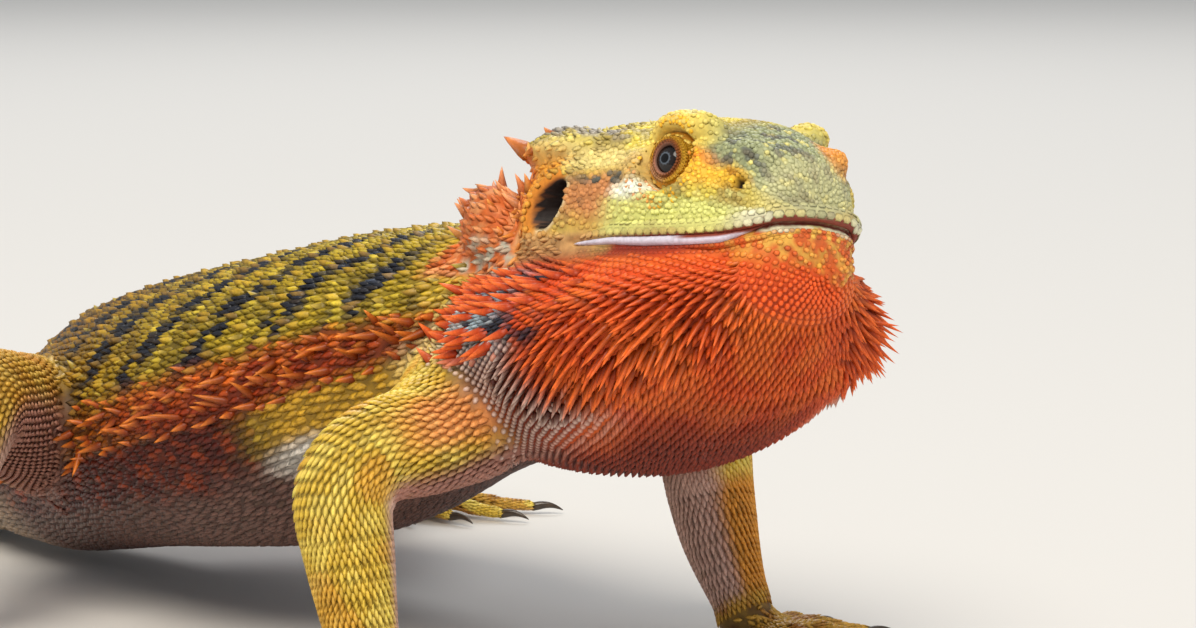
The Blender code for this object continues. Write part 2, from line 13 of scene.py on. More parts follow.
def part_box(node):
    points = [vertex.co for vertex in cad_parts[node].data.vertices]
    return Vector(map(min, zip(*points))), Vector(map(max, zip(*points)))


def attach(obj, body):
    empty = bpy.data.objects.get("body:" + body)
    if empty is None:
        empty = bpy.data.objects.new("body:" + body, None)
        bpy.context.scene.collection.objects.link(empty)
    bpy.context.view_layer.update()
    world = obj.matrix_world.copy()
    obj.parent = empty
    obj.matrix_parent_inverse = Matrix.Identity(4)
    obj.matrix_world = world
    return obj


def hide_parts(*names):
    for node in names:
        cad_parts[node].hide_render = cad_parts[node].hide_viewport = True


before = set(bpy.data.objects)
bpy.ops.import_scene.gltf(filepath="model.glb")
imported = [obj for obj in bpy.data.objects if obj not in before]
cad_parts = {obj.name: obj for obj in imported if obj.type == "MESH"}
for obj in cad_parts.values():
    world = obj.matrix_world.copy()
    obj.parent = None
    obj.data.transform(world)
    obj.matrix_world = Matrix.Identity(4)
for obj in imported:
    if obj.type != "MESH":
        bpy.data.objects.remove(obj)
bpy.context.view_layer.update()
rng = np.random.default_rng(7)
mm = 0.001

# The head's own frame starts midway between the eyes: x forwards, y left, z up, turned as here.
headPose = {"at": (171.0, -3.0, 81.0), "turn": -14, "lift": 8, "tilt": -8, "beardTilt": -1}
cameraSettings = {"azimuth": 47, "elevation": 7.5, "distance": 480, "aside": 9.1, "below": 21.14,
                  "eyeAside": 12.5, "lens": 103.2, "sensor": 36}
# Floor's half side in metres. Each light: place from the head and size in metres, power in watts, colour.
stageSettings = {"floor": "#DAD8D4", "half": 15, "world": "#DDE1E6", "worldStrength": 0.6, "lights": {
    "key": ((0.8, -1.25, 1.95), 1.6, 60, "#FFF6E8"), "fill": ((2.0, 1.1, 0.55), 2.0, 10, "#E8F0FF"),
    "rim": ((-1.4, 1.2, 1.6), 1.0, 16, "#FFFFFF")}}


def unit(v):
    return v / np.linalg.norm(v, axis=-1, keepdims=True)


def level(angle):
    # a level direction at an angle in radians from straight ahead
    return np.array([math.cos(angle), math.sin(angle), 0])


def rotation(axis, degrees):
    # right-handed turn about one axis: the two other axes mix by cosine and sine
    c, s = math.cos(math.radians(degrees)), math.sin(math.radians(degrees))
    i, j = {"x": (1, 2), "y": (2, 0), "z": (0, 1)}[axis]
    m = np.eye(3)
    m[i, i] = m[j, j] = c
    m[i, j], m[j, i] = -s, s
    return m


def boxMiddle(node):
    low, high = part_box(node)
    return (np.array(low) + np.array(high)) / 2 / mm


headAt = np.array(headPose["at"])
eyesMiddle = (boxMiddle("eye_right") + boxMiddle("eye_left")) / 2
shift = eyesMiddle - headAt      # from the animal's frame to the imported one
raised = rotation("z", headPose["turn"]) @ rotation("y", -headPose["lift"])
headTurn, beardTurn = (raised @ rotation("x", headPose[tilt]) for tilt in ("tilt", "beardTilt"))


def linear(hexColour):
    # sRGB to linear: ((c + 0.055) / 1.055) ^ 2.4 above 0.04045, c / 12.92 below
    c = np.array([int(hexColour[i:i + 2], 16) / 255 for i in (1, 3, 5)])
    return np.where(c > 0.04045, ((c + 0.055) / 1.055) ** 2.4, c / 12.92)


def addObject(name, data):
    obj = bpy.data.objects.new(name, data)
    bpy.context.scene.collection.objects.link(obj)
    return obj


def addMaterial(name, values):
    # a material with its shader's uniform values set, and its node tree and shader
    material = bpy.data.materials.new(name)
    material.use_nodes = True
    shader = material.node_tree.nodes["Principled BSDF"]
    for socket, value in values.items():
        shader.inputs[socket].default_value = value
    return material, material.node_tree, shader


def addNode(tree, kind, settings=None, links=None, **properties):
    # one node: properties of the node, values of its sockets, and what feeds them
    node = tree.nodes.new(kind)
    for name, value in properties.items():
        setattr(node, name, value)
    for name, value in (settings or {}).items():
        node.inputs[name].default_value = value
    for name, source in (links or {}).items():
        tree.links.new(source, node.inputs[name])
    return node


def makeCamera(s):
    a, e = math.radians(s["azimuth"]), math.radians(s["elevation"])
    back, right = level(a - math.pi / 2) * math.cos(e) + [0, 0, math.sin(e)], level(a)
    up = np.cross(back, right)
    aim = eyesMiddle - headTurn[:, 1] * s["eyeAside"]
    place = aim + back * s["distance"] - right * s["aside"] - up * s["below"]
    data = bpy.data.cameras.new("camera")
    data.lens, data.sensor_width = s["lens"], s["sensor"]
    data.clip_start, data.clip_end = 0.01, 60
    data.dof.use_dof = False
    camera = addObject("camera", data)
    rows = [[right[i], up[i], back[i], place[i] * mm] for i in range(3)]
    camera.matrix_world = Matrix(rows + [[0, 0, 0, 1]])
    bpy.context.scene.camera = camera


def softLight(name, at, aim, size, power, colour):
    data = bpy.data.lights.new(name, "AREA")
    data.shape, data.size, data.energy, data.color = "DISK", size, power, linear(colour)
    light = addObject(name, data)
    light.location = at
    light.rotation_euler = (at - aim).to_track_quat("Z", "Y").to_euler()


def makeStage(s):
    bpy.context.scene.view_settings.view_transform = "Standard"      # colours shown as they are painted
    mesh = bpy.data.meshes.new("floor")
    corners = [(x * s["half"], y * s["half"], 0) for x, y in ((-1, -1), (1, -1), (1, 1), (-1, 1))]
    mesh.from_pydata(corners, [], [(0, 1, 2, 3)])
    floor = addObject("floor", mesh)
    # rolled matt paint: no gleam, only the soft shadows
    paint = {"Base Color": (*linear(s["floor"]), 1), "Roughness": 0.85}
    mesh.materials.append(addMaterial("painted studio floor, matt", paint)[0])
    world = bpy.data.worlds.new("studio")
    world.use_nodes = True
    world.node_tree.nodes["Background"].inputs["Color"].default_value = (*linear(s["world"]), 1)
    world.node_tree.nodes["Background"].inputs["Strength"].default_value = s["worldStrength"]
    bpy.context.scene.world = world
    head = Vector(eyesMiddle * mm)
    for name, (place, size, power, colour) in s["lights"].items():
        softLight(name, head + Vector(place), head, size, power, colour)


makeCamera(cameraSettings)
makeStage(stageSettings)
print("camera, floor and light are set")

# The body is swept forms, called lofts, that run into one another.
# Sections: centre x, y, z, half width, height above the centre, depth below it (the same if left out).
bodyLofts = {
    "trunk": {"square": 0.9, "rows": [
        (-12, 0, 15, 15, 13.5, 13.8), (2, 0, 19, 18, 18.5, 17.8), (16, 0, 22, 22, 23.5, 18.5),
        (32, 0, 26, 28.5, 25.5, 19.5), (52, 0, 32, 34, 25, 22.5), (76, 0, 39, 36, 23.5, 25),
        (98, 0, 46, 33, 21.5, 21.5), (116, 0, 53, 27, 17.5, 21), (127, 2, 60, 21, 13.5, 19.5),
        (136, 5, 67, 18, 10.5, 16), (146, 3, 71, 15, 7, 14)]},
    "skull": {"square": 0.8, "pinch": 0.2, "turn": headTurn, "rows": [
        (-40, 0, -11, 14.0, 7.0, 14), (-34, 0, -9.5, 18.0, 11.0, 17), (-26, 0, -8, 21.2, 15.8, 18),
        (-16, 0, -8, 20.3, 16.4, 16), (-7, 0, -8, 17.9, 16.4, 14), (0, 0, -8, 15.6, 15.9, 12.5),
        (6, 0, -8, 13.4, 15.0, 11), (12, 0, -8.5, 11.2, 13.2, 9.5), (17, 0, -9, 9.2, 11.0, 7.5),
        (20.4, 0, -9.2, 6.4, 7.6, 5.2), (21.8, 0, -9.0, 1.4, 1.6, 1.4)]},
    "beard": {"turn": beardTurn, "rows": [
        (20.2, -0.5, -14.6, 1.4, 1.2, 1.2), (18.4, -1, -15.2, 8, 5.6, 5.2), (12, -2, -17.5, 14.5, 9, 9.5),
        (3, -3, -19.5, 23, 12, 14.5), (-9, -3, -22, 28, 15, 17.8), (-20, -3, -23.5, 29.5, 17, 19.6),
        (-32, -3, -24.5, 29, 17, 18.6), (-43, -2.5, -24.5, 23, 15, 16), (-50, -2, -23.5, 14, 9, 10)]},
    "armRight": {"limb": True, "rows": [
        (128, -12, 48, 12, 12), (134, -22, 44.5, 10.5, 11.5), (137, -33, 42, 8.3, 9.2),
        (137, -43, 40.5, 7.3, 7.6), (137, -48, 35.5, 7.2, 7.4), (139, -48.5, 26, 6.3, 6.7),
        (142, -48.5, 14, 4.9, 5.4), (144.5, -49, 6.5, 4.6, 4.6)]},
    "armLeft": {"limb": True, "rows": [
        (126, 11, 50, 12, 12), (128, 22, 46, 10.5, 11), (126, 31, 39.5, 8.5, 9.2),
        (124, 36.5, 32.5, 7.6, 7.8), (124.5, 37.5, 25, 7.2, 7.3), (128, 36.5, 17, 6.2, 6.6),
        (131.5, 36.3, 10, 5, 5.4), (134, 36.5, 6, 4.6, 4.6)]},
    "legRight": {"limb": True, "rows": [
        (20, -8, 26, 14, 13), (27, -23, 29, 12, 12.5), (36, -37, 34, 10.4, 10.8), (45, -49, 38, 8.6, 8.6),
        (48, -55, 33, 7.8, 8.2), (46, -57.5, 23, 7, 7.4), (41.5, -59, 12, 5.2, 5.6), (39, -60, 7, 4.8, 4.8)]},
    "legLeft": {"limb": True, "rows": [
        (18, 8, 26, 14, 13), (20, 23, 28, 12, 12.5), (24, 38, 31, 10.2, 10.6), (28, 51, 33, 8.6, 8.6),
        (25, 57, 28, 7.8, 8), (15, 60, 20.5, 7, 7.2), (6.5, 62, 13, 5.4, 5.8), (3.5, 63, 6.5, 4.8, 4.8)]},
}
limbNames = ("armRight", "armLeft", "legRight", "legLeft")
tailShape = {"length": 285, "bend": 40, "root": 12.6, "tip": 1.5, "sections": 14}
# Digits: angle from the foot's heading, length, radius.
handDigits = [(-64, 9, 1.8), (-30, 13.5, 1.9), (0, 16, 1.9), (27, 15, 1.9), (60, 10.5, 1.75)]
footDigits = [(-48, 9, 1.9), (-24, 14, 2.0), (-4, 19.5, 2.0), (16, 25, 2.0), (62, 13, 1.8)]
# Each foot: its limb, heading in degrees, length of palm or sole, outer side, and its digits.
feet = {
    "hand_right": ("armRight", -24, 8.5, -1, handDigits), "hand_left": ("armLeft", 30, 8.5, 1, handDigits),
    "foot_right": ("legRight", -26, 13.0, -1, footDigits), "foot_left": ("legLeft", 30, 13.0, 1, footDigits),
}


def tailRows(s):
    # t from root to tip: the tail bends by 0.6 bend * t^1.5 and its radius falls as (1 - t)^0.9
    t = np.arange(s["sections"]) / (s["sections"] - 1)
    bend = math.radians(s["bend"]) * t ** 1.5 * 0.6
    r = s["root"] * (1 - t) ** 0.9 + s["tip"]
    return np.stack([-12 - s["length"] * t * np.cos(bend), s["length"] * t * np.sin(bend),
                     r * 0.93 + 3.2 * (1 - t) ** 8, r * (1.07 - 0.07 * t), r * 0.96, r], axis=1)


def sweep(name, rows, turn=None, pinch=0.0, square=1.0, limb=False, per=12):
    # Catmull-Rom curve through the rows, with the unit axes ahead, left and up at every sample
    rows = np.array(rows, float)
    if rows.shape[1] == 5:
        rows = np.hstack([rows, rows[:, 4:5]])
    last = len(rows) - 1
    u = np.linspace(0, last, last * per + 1)
    k = np.clip(u.astype(int), 0, last - 1)
    t = (u - k)[:, None]
    ends = np.vstack([2 * rows[0] - rows[1], rows, 2 * rows[-1] - rows[-2]])
    a, b, c, d = ends[k], ends[k + 1], ends[k + 2], ends[k + 3]
    s = 0.5 * (2 * b + (c - a) * t + (2 * a - 5 * b + 4 * c - d) * t ** 2 + (3 * b - a - 3 * c + d) * t ** 3)
    ahead = unit(np.gradient(s[:, :3], axis=0))
    left = unit(np.cross([1.0, 0, 0] if limb else [0, 0, 1.0], ahead))
    centre, up = s[:, :3], np.cross(ahead, left)
    if turn is not None:
        centre, ahead, left, up = headAt + centre @ turn.T, ahead @ turn.T, left @ turn.T, up @ turn.T
    length = np.concatenate([[0], np.cumsum(np.linalg.norm(np.diff(centre, axis=0), axis=1))])
    return {"name": name, "u": u, "centre": centre, "ahead": ahead, "left": left, "up": up, "wide": s[:, 3],
            "high": s[:, 4], "deep": s[:, 5], "length": length, "pinch": pinch, "square": square}


def between(table, values, u):
    # linear reading of any per-sample array at u
    if values.ndim == 1:
        return np.interp(u, table["u"], values)
    return np.stack([np.interp(u, table["u"], values[:, i]) for i in range(values.shape[1])], axis=1)


def loftPoint(table, u, angle):
    # centre + left * wide * cos^square * (1 - pinch sin^1.5) + up * (high or deep) * sin^square
    c, z = np.cos(angle), np.sin(angle)
    c = np.sign(c) * np.abs(c) ** table["square"] * (1 - table["pinch"] * np.clip(z, 0, 1) ** 1.5)
    z = np.sign(z) * np.abs(z) ** table["square"]
    tall = np.where(z > 0, between(table, table["high"], u), between(table, table["deep"], u)) * z
    side = between(table, table["wide"], u) * c
    return (between(table, table["centre"], u) + between(table, table["left"], u) * side[:, None]
            + between(table, table["up"], u) * tall[:, None])


lofts = {name: sweep(name, **shape) for name, shape in bodyLofts.items()}
lofts["tail"] = sweep("tail", tailRows(tailShape))
print("lofts are worked out")

# eyeAt and eyeAxis are the left eye's in the head's frame, lidWide and lidTall its opening's half angles.
skinSettings = {"voxel": 1.0, "smooth": 6, "coat": 0.45, "eyeRadius": 4.3, "eyeAt": (0.0, 9.1, 0.0),
                "eyeAxis": (0.36, 0.92, 0.12), "lidWide": 21, "lidTall": 26, "lidRadius": 4.75}
# Soft forms over the skull, in the head's frame: place, radii, turn about z (mirrored on the other side).
headForms = {
    "brow": ((1.5, 9.6, 5.2), (7.0, 3.6, 3.0), -14), "canthus": ((12.2, 7.2, 0.9), (7.0, 2.5, 2.7), -15),
    "nostril": ((13.5, 6.6, -3.4), (3.0, 2.2, 2.2), 0), "cheek": ((-13, 14.5, -8.5), (12, 5.0, 4.5), -12),
    "temple": ((-24, 14, 2.5), (10, 5.0, 4.5), -8), "jawCorner": ((-34, 17, -13), (8, 5.0, 6.5), 24),
    "napeFold": ((-38.0, 20.0, -7.5), (7.0, 4.4, 6.5), 14), "lip": ((4, 12.6, -10), (12, 2.2, 2.6), -19),
    "chin": ((15.2, 3.4, -13.8), (6.0, 6.4, 3.8), -20),
}
# A digit from inside the palm to its tip: share of its length, height of the centre, share of its radius.
digitShape = ((-0.25, 2.4, 1.0), (0.1, 3.0, 1.0), (0.4, 3.3, 0.95), (0.7, 2.2, 0.86), (1.0, 1.5, 0.72))


def roundAngles(columns):
    return np.arange(columns) * 2 * math.pi / columns


def gridFaces(rows, columns):
    # quads of a grid of points, its columns joined round
    i = (np.arange(rows - 1) * columns)[:, None]
    j = np.arange(columns)
    k = (j + 1) % columns
    return np.stack([i + j, i + k, i + columns + k, i + columns + j], axis=2).reshape(-1, 4)


def closedTube(rings):
    # rings of points, drawn to a point at both ends
    ends = np.repeat(rings[[0, -1]].mean(1, keepdims=True), rings.shape[1], axis=1)
    points = np.concatenate([ends[:1], rings, ends[1:]])
    return points.reshape(-1, 3), gridFaces(*points.shape[:2])


def tubeGrid(table, rows=60, columns=36):
    # the loft as rings
    u = np.repeat(np.linspace(0.0, table["u"][-1], rows), columns)
    return closedTube(loftPoint(table, u, np.tile(roundAngles(columns), rows)).reshape(rows, columns, 3))


def ellipsoidGrid(at, radii, turn, matrix, rows=14, columns=24):
    # radii times (cos a sin b, sin a sin b, cos b), turned and put in place
    b, a = np.meshgrid(np.linspace(0, math.pi, rows), roundAngles(columns), indexing="ij")
    ball = np.stack([np.cos(a) * np.sin(b), np.sin(a) * np.sin(b), np.cos(b)], axis=2).reshape(-1, 3)
    local = np.array(at) + (ball * radii) @ rotation("z", turn).T
    return (headAt + local @ matrix.T if matrix is not None else local), gridFaces(rows, columns)[:, ::-1]


def digitTables():
    # every digit as a low arched tube from inside the palm to its tip, and its direction
    found = []
    for name, (limb, heading, palm, outer, digits) in feet.items():
        end, turn = lofts[limb]["centre"][-1], math.radians(heading)
        ahead = level(turn)
        side = np.array([-ahead[1], ahead[0], 0]) * outer
        for number, (spread, length, radius) in enumerate(digits, 1):
            out = level(turn + math.radians(spread) * outer)
            root = (end + ahead * palm * 0.85 + side * (spread / 62 * 3.4)
                    - ahead * abs(spread) / 62 * palm * 0.42)
            rows = [(*(root + out * length * t)[:2], lift, radius * thick, radius * thick)
                    for t, lift, thick in digitShape]
            table = sweep(f"{name}_{number}", rows, per=8)
            table.update(tip=root + out * length, out=out, foot=name)
            found.append(table)
    return found


def palmGrids():
    # each palm or sole is a flat ellipsoid with a rounder one at the wrist or heel
    grids = []
    for limb, heading, palm, outer, digits in feet.values():
        end = lofts[limb]["centre"][-1]
        middle = end + level(math.radians(heading)) * palm * 0.45
        grids.append(ellipsoidGrid((middle[0], middle[1], 2.6), (palm * 0.62, 5.4, 3.1), heading, None))
        grids.append(ellipsoidGrid(end + np.array([0, 0, -1.6]), (5.2, 5.0, 4.2), 0, None))
    return grids


def joinGrids(grids):
    start = np.cumsum([0] + [len(points) for points, faces in grids])
    return np.concatenate([g[0] for g in grids]), np.concatenate([g[1] + s for g, s in zip(grids, start)])


def makeMesh(name, points, faces):
    # points in the animal's frame, in millimetres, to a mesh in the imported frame, in metres
    mesh = bpy.data.meshes.new(name)
    mesh.from_pydata(((points + shift) * mm).tolist(), [], faces)
    return mesh


def meshArrays(mesh):
    points = np.empty(len(mesh.vertices) * 3, np.float32)
    normals = np.empty(len(mesh.vertices) * 3, np.float32)
    mesh.vertices.foreach_get("co", points)
    mesh.vertex_normals.foreach_get("vector", normals)
    return points.reshape(-1, 3) / mm - shift, normals.reshape(-1, 3).astype(float)


def setPoints(mesh, points):
    mesh.vertices.foreach_set("co", (((points + shift) * mm).astype(np.float32)).ravel())
    mesh.update()


digits = digitTables()


def makeSkinForm(s):
    # clay: every form as a closed shell, made one by a voxel remesh and then smoothed
    clay = [tubeGrid(table) for table in lofts.values()] + [tubeGrid(d, rows=20, columns=14) for d in digits]
    clay += palmGrids()
    for side in (1, -1):
        for at, radii, turn in headForms.values():
            clay.append(ellipsoidGrid((at[0], at[1] * side, at[2]), radii, turn * side, headTurn))
    obj = addObject("skin", makeMesh("skin", *joinGrids(clay)))
    remesh = obj.modifiers.new("remesh", "REMESH")
    remesh.mode, remesh.voxel_size = "VOXEL", s["voxel"] * mm
    smooth = obj.modifiers.new("smooth", "SMOOTH")
    smooth.factor, smooth.iterations = 0.5, s["smooth"]
    mesh = bpy.data.meshes.new_from_object(obj.evaluated_get(bpy.context.evaluated_depsgraph_get()))
    obj.modifiers.clear()
    obj.data = mesh
    return obj


def toHead(points):
    return (points - headAt) @ headTurn


def toHalfHead(points):
    # the head's frame with its right half folded on to the left
    h = toHead(points)
    h[:, 1] = np.abs(h[:, 1])
    return h


def fromHead(points):
    return headAt + points @ headTurn.T


def chart(table, points):
    # nearest sample of the centre line, then the place in that section's own axes:
    # u along, angle round it in degrees from its left over its top, and the distance outside the loft
    c = table["centre"]
    k = np.argmin((c ** 2).sum(1) - 2 * points @ c.T, axis=1)
    d = points - c[k]
    along, a, b = [(d * table[axis][k]).sum(1) for axis in ("ahead", "left", "up")]
    tall = np.where(b > 0, table["high"][k], table["deep"][k])
    p = 2 / table["square"]
    across, rise = np.abs(a) / table["wide"][k], np.abs(b) / tall
    ratio = np.maximum((across ** p + rise ** p) ** (1 / p), 1e-6)
    angle = np.degrees(np.arctan2(np.sign(b) * rise ** (p / 2), np.sign(a) * across ** (p / 2)))
    outside = np.hypot(a, b) * (1 - 1 / ratio)
    beyond = ((k == 0) & (along < -1)) | ((k == len(c) - 1) & (along > 1))
    outside = np.where(beyond, np.maximum(outside, np.abs(along)), outside)
    u = table["u"][k] + along / np.gradient(table["length"], table["u"])[k]
    return np.clip(u, 0, table["u"][-1]), angle, outside


def fromTop(angle):
    # degrees from the top of the loft down either side: 0 over the back, 90 at the flank, 180 underneath
    return np.abs((angle + 90) % 360 - 180)


def lumps(points, size, seed):
    # smooth noise from -1 to 1: sixteen plane waves of about that wavelength, in seeded directions
    waves = np.random.default_rng(seed)
    k = unit(waves.normal(size=(16, 3))) * (2 * math.pi / size) * waves.uniform(0.7, 1.4, (16, 1))
    return np.sin(points @ k.T + waves.uniform(0, 2 * math.pi, 16)).sum(1) / 5.5


def step(low, high, x):
    # 0 below low, 1 above high, smooth between
    t = np.clip((x - low) / (high - low), 0, 1)
    return t * t * (3 - 2 * t)


def patch(u, t, at, size, soft=1.0):
    # 1 in the middle of an oval on a chart, falling to 0 outside it
    r = np.hypot((u - at[0]) / size[0], (t - at[1]) / size[1])
    return 1 - step(1 - 0.5 * soft, 1 + 0.5 * soft, r)


def plain(points, hexColour):
    return np.tile(linear(hexColour), (len(points), 1))


def painted(colour, mask, hexColour):
    return colour + (linear(hexColour) - colour) * np.clip(mask, 0, 1)[:, None]


def layers(colour, *rows):
    # colours laid over one another in turn, each through its mask
    for mask, hexColour in rows:
        colour = painted(colour, mask, hexColour)
    return colour


# Markings: the same colours on skin and scales, by place on each loft. t is the angle from its top, degrees.
def trunkMarks(p, u, angle):
    t = fromTop(angle)
    fine, broad = lumps(p, 4, 11), lumps(p, 13, 12)
    bars = np.abs((u + (t - 40) / 60 - 6.98) % 0.7 - 0.35) + 0.05 * lumps(p, 6, 13)
    dark = step(0.18, 0.12, bars) * step(8, 20, t) * step(86, 76, t) * step(-0.75, -0.15, lumps(p, 5, 14))
    # the lower flank's dark red-brown: partly its own colour and partly painted shade
    lowFlankColourAndShade = step(92, 99, t) * step(6.1, 5.4, u)
    return layers(
        plain(p, "#A98F1E"),
        (step(-0.3, 0.6, broad), "#857018"), (step(0.2, 0.8, fine) * 0.8, "#CDB53A"),
        (step(5.6, 3.0, u) * 0.75, "#7D4E1A"),  # browner towards the hips
        (dark * step(7.75, 7.5, u), "#1E2029"),  # slanting bars
        (dark * step(6.2, 7.2, u) * step(0.1, 0.6, fine) * 0.8, "#4A5468"),
        (patch(u, t, (5.9, 90), (2.1, 11)), "#8C300A"),  # the flank
        (patch(u, t, (6.3, 84), (1.6, 6)) * step(-0.2, 0.5, fine), "#C05A16"),
        # the lower flank: dark red-brown, partly its own colour and partly painted shade, with redder mottles
        # on it
        (lowFlankColourAndShade, "#4E160A"), (lowFlankColourAndShade * step(0.1, 0.7, lumps(p, 5, 16)) * 0.8, "#8A340E"),
        (step(94, 102, t) * step(5.6, 6.1, u), "#BE9328"),
        # the belly: darker red-brown, partly its own colour and partly painted shade underneath
        (step(114, 126, t + 3 * broad), "#6A4A40"),  # the belly
        (patch(u, t, (6.1, 124), (0.38, 8)), "#DAD2C6"),  # pale spot behind the arm
        (step(1.6, 0.2, u) * step(96, 112, t), "#97806A"),
        (step(7.2, 7.7, u) * step(112, 96, t), "#C4A42C"),  # the shoulder
        (patch(u, t, (7.7, 103), (0.5, 14)), "#D9D0B4"),
        (step(0.35, 0.9, lumps(p, 2.4, 15)) * 0.4, "#3E2E14"))


def tailMarks(p, u, angle):
    t = fromTop(angle)
    band = np.abs((u * 1.05 + 0.1 * lumps(p, 12, 22)) % 1 - 0.5) * 2
    return layers(
        plain(p, "#8A6A2C"), (step(-0.2, 0.5, lumps(p, 8, 21)), "#A08638"),
        (step(0.55, 0.2, band) * step(110, 80, t) * 0.8, "#3E2E1C"),
        (patch(u, t, (0.5, 90), (3, 14)) * 0.7, "#9A4216"),
        (step(105, 125, t), "#A08A72"))


def skullMarks(p, u, angle):
    t = fromTop(angle)
    fine, broad = lumps(p, 3, 31), lumps(p, 9, 32)
    spots = step(-0.3, 0.3, fine)
    upperLip, jaw = step(80, 84, t), step(95, 98, t)
    return layers(
        plain(p, "#D8C452"), (step(-0.2, 0.6, broad), "#AC9850"),
        (step(5.7, 6.6, u) * step(72, 60, t), "#989E76"),  # grey-green snout
        (step(5.9, 6.8, u) * step(68, 56, t) * step(0.05, 0.4, fine), "#6E7264"),
        (step(5.9, 6.8, u) * step(0.45, 0.8, lumps(p, 2.2, 33)), "#CFC678"),
        (step(7.6, 8.6, u) * 0.6, "#C4BE8C"),
        (patch(u, t, (7.5, 32), (0.7, 18)) * step(1, 4, toHead(p)[:, 1]), "#E2963C"),  # the left bump only
        (patch(u, t, (3.2, 58), (1.5, 8)), "#E4D084"),  # temple
        (patch(u, t, (2.7, 38), (1.3, 9)) * spots, "#9A9284"),
        (patch(u, t, (3.7, 80), (0.9, 12)), "#C2824E"),  # cheek
        (patch(u, t, (4.5, 66), (0.6, 10)) * 0.7, "#CFA868"),
        (patch(u, t, (3.9, 72), (0.75, 3.5)) * spots, "#54564E"),  # dark streak behind the eye
        (patch(u, t, (5.15, 43), (0.8, 15)), "#EACB64"),  # brow
        (patch(u, t, (5.3, 32), (0.45, 7)) * step(-0.2, 0.4, fine), "#FFF2A8"),
        (patch(u, t, (5.75, 60), (0.8, 9)), "#E48C26"),  # in front of the eye
        (patch(u, t, (6.25, 68), (0.9, 7)), "#E8B43A"),
        (patch(u, t, (7.2, 64), (0.6, 8)), "#E6B636"),  # round the nostril
        (patch(u, t, (7.15, 60), (0.25, 3)), "#A8741E"),
        (upperLip * step(3.6, 4.3, u), "#D8D880"), (upperLip * step(7.0, 8.4, u) * 0.9, "#D2CDB0"),
        (patch(u, t, (4.6, 79), (0.55, 4.5)), "#EEF2DC"),  # white spot under the eye
        (step(3.0, 2.5, u) * step(50, 64, t), "#E09A34"), (step(2.2, 1.6, u) * step(58, 70, t), "#DD6C38"),
        (step(91, 96, t) * step(4.2, 3.6, u), "#D0A468"),
        (jaw * step(3.8, 4.4, u), "#9A3A22"), (jaw * step(6.4, 7.6, u), "#CC5E26"),
        (jaw * step(6.8, 7.8, u) * step(-0.3, 0.4, lumps(p, 2, 34)), "#DEA848"),
        (step(0.45, 0.95, fine) * 0.3, "#6A5030"))


def beardMarks(p, u, angle):
    t, u = fromTop(angle), u - 1  # u counted from the chin's first ring
    fine, broad = lumps(p, 3, 41), lumps(p, 10, 42)
    rear = step(2.9, 3.7, u + (t - 95) / 70) * step(80, 92, t) * step(146, 126, t)
    return layers(
        plain(p, "#D64A10"), (step(-0.3, 0.6, broad), "#EA6A22"),
        (step(142, 165, t) * step(2.2, 3.2, u), "#6A1A08"),  # underneath
        (step(50, 36, t) * step(0.6, 1.4, u), "#7C2212"),
        (step(0.7, 0.2, u) * step(75, 50, t) * step(-0.3, 0.4, fine), "#DDA030"),  # chin
        (rear, "#7A2C18"), (rear * step(3.6, 4.6, u) * step(118, 100, t), "#4E3438"),
        (step(3.2, 4.0, u) * step(44, 56, t) * step(98, 84, t), "#A3B6C0"),  # blue-grey skin at the rear
        (step(2.5, 3.0, u) * step(44, 54, t) * step(98, 86, t) * step(-0.2, 0.3, lumps(p, 4, 43)), "#2A2A36"),
        (step(4.2, 4.8, u) * step(-0.1, 0.3, fine) * step(44, 58, t) * step(92, 80, t), "#DCE6E8"),
        (step(3.4, 4.4, u) * step(126, 142, t), "#6A2412"))


def limbMarks(p, u, angle, table):
    side = math.copysign(1, table["centre"][4][1])
    out = unit(p - between(table, table["centre"], u))
    inner = -out[:, 1] * side * 0.8 - out[:, 2] * (0.3 + 0.6 * step(4.2, 3.0, u))
    c = layers(plain(p, "#D2B040"), (step(-0.2, 0.6, lumps(p, 6, 51)), "#DEC45A"),
               (step(0.2, 0.7, lumps(p, 11, 52)) * 0.45, "#D08A34"))
    if table["name"].startswith("arm"):
        front = step(0.15, 0.75, out[:, 0]) * step(3.2, 2.2, u) * step(-0.2, 0.3, out[:, 2]) * 0.8
        c = painted(c, front, "#E6905A")
        if side > 0:
            c = painted(c, step(0.1, 0.6, out[:, 0]) * step(3.4, 4.2, u), "#D38E34")
    else:
        c = painted(c, step(4.6, 3.2, u) * (0.45 + 0.2 * lumps(p, 9, 54)), "#A8682A")
    return layers(c, (step(0.15, 0.65, inner), "#AE7C6C"),
                  (step(0.1, 0.6, inner) * step(3.2, 4.0, u), "#CDA898"),
                  (step(0.4, 0.9, lumps(p, 2.6, 53)) * 0.25, "#7A5A24"))


def footMarks(p):
    return layers(plain(p, "#C2953A"), (step(-0.1, 0.6, lumps(p, 5, 61)), "#A8722E"),
                  (step(1.6, 0.6, p[:, 2]), "#C9A68A"))


def wingPlace(p):
  # 1 on the wing, the flared corner of the jaw behind the ear, and 0 away from it
    h = toHead(p)
    inX = step(-47.5, -45.5, h[:, 0]) * step(-25.5, -27.5, h[:, 0])
    return inX * step(11.5, 14, np.abs(h[:, 1])) * step(-16.5, -14.5, h[:, 2]) * step(4, 2, h[:, 2])


def wingMarks(p):
    h = toHead(p)
    pale = step(-9, -11, h[:, 2]) * step(-42, -40, h[:, 0]) * step(-0.2, 0.4, lumps(p, 2.5, 72))
    return layers(plain(p, "#CA6428"), (step(-0.2, 0.6, lumps(p, 3, 71)), "#DC9058"), (pale, "#B9B6A2"),
                  (step(-28.5, -26.5, h[:, 0]) * 0.7, "#E59A30"))


loftMarks = {"trunk": trunkMarks, "tail": tailMarks, "skull": skullMarks, "beard": beardMarks}


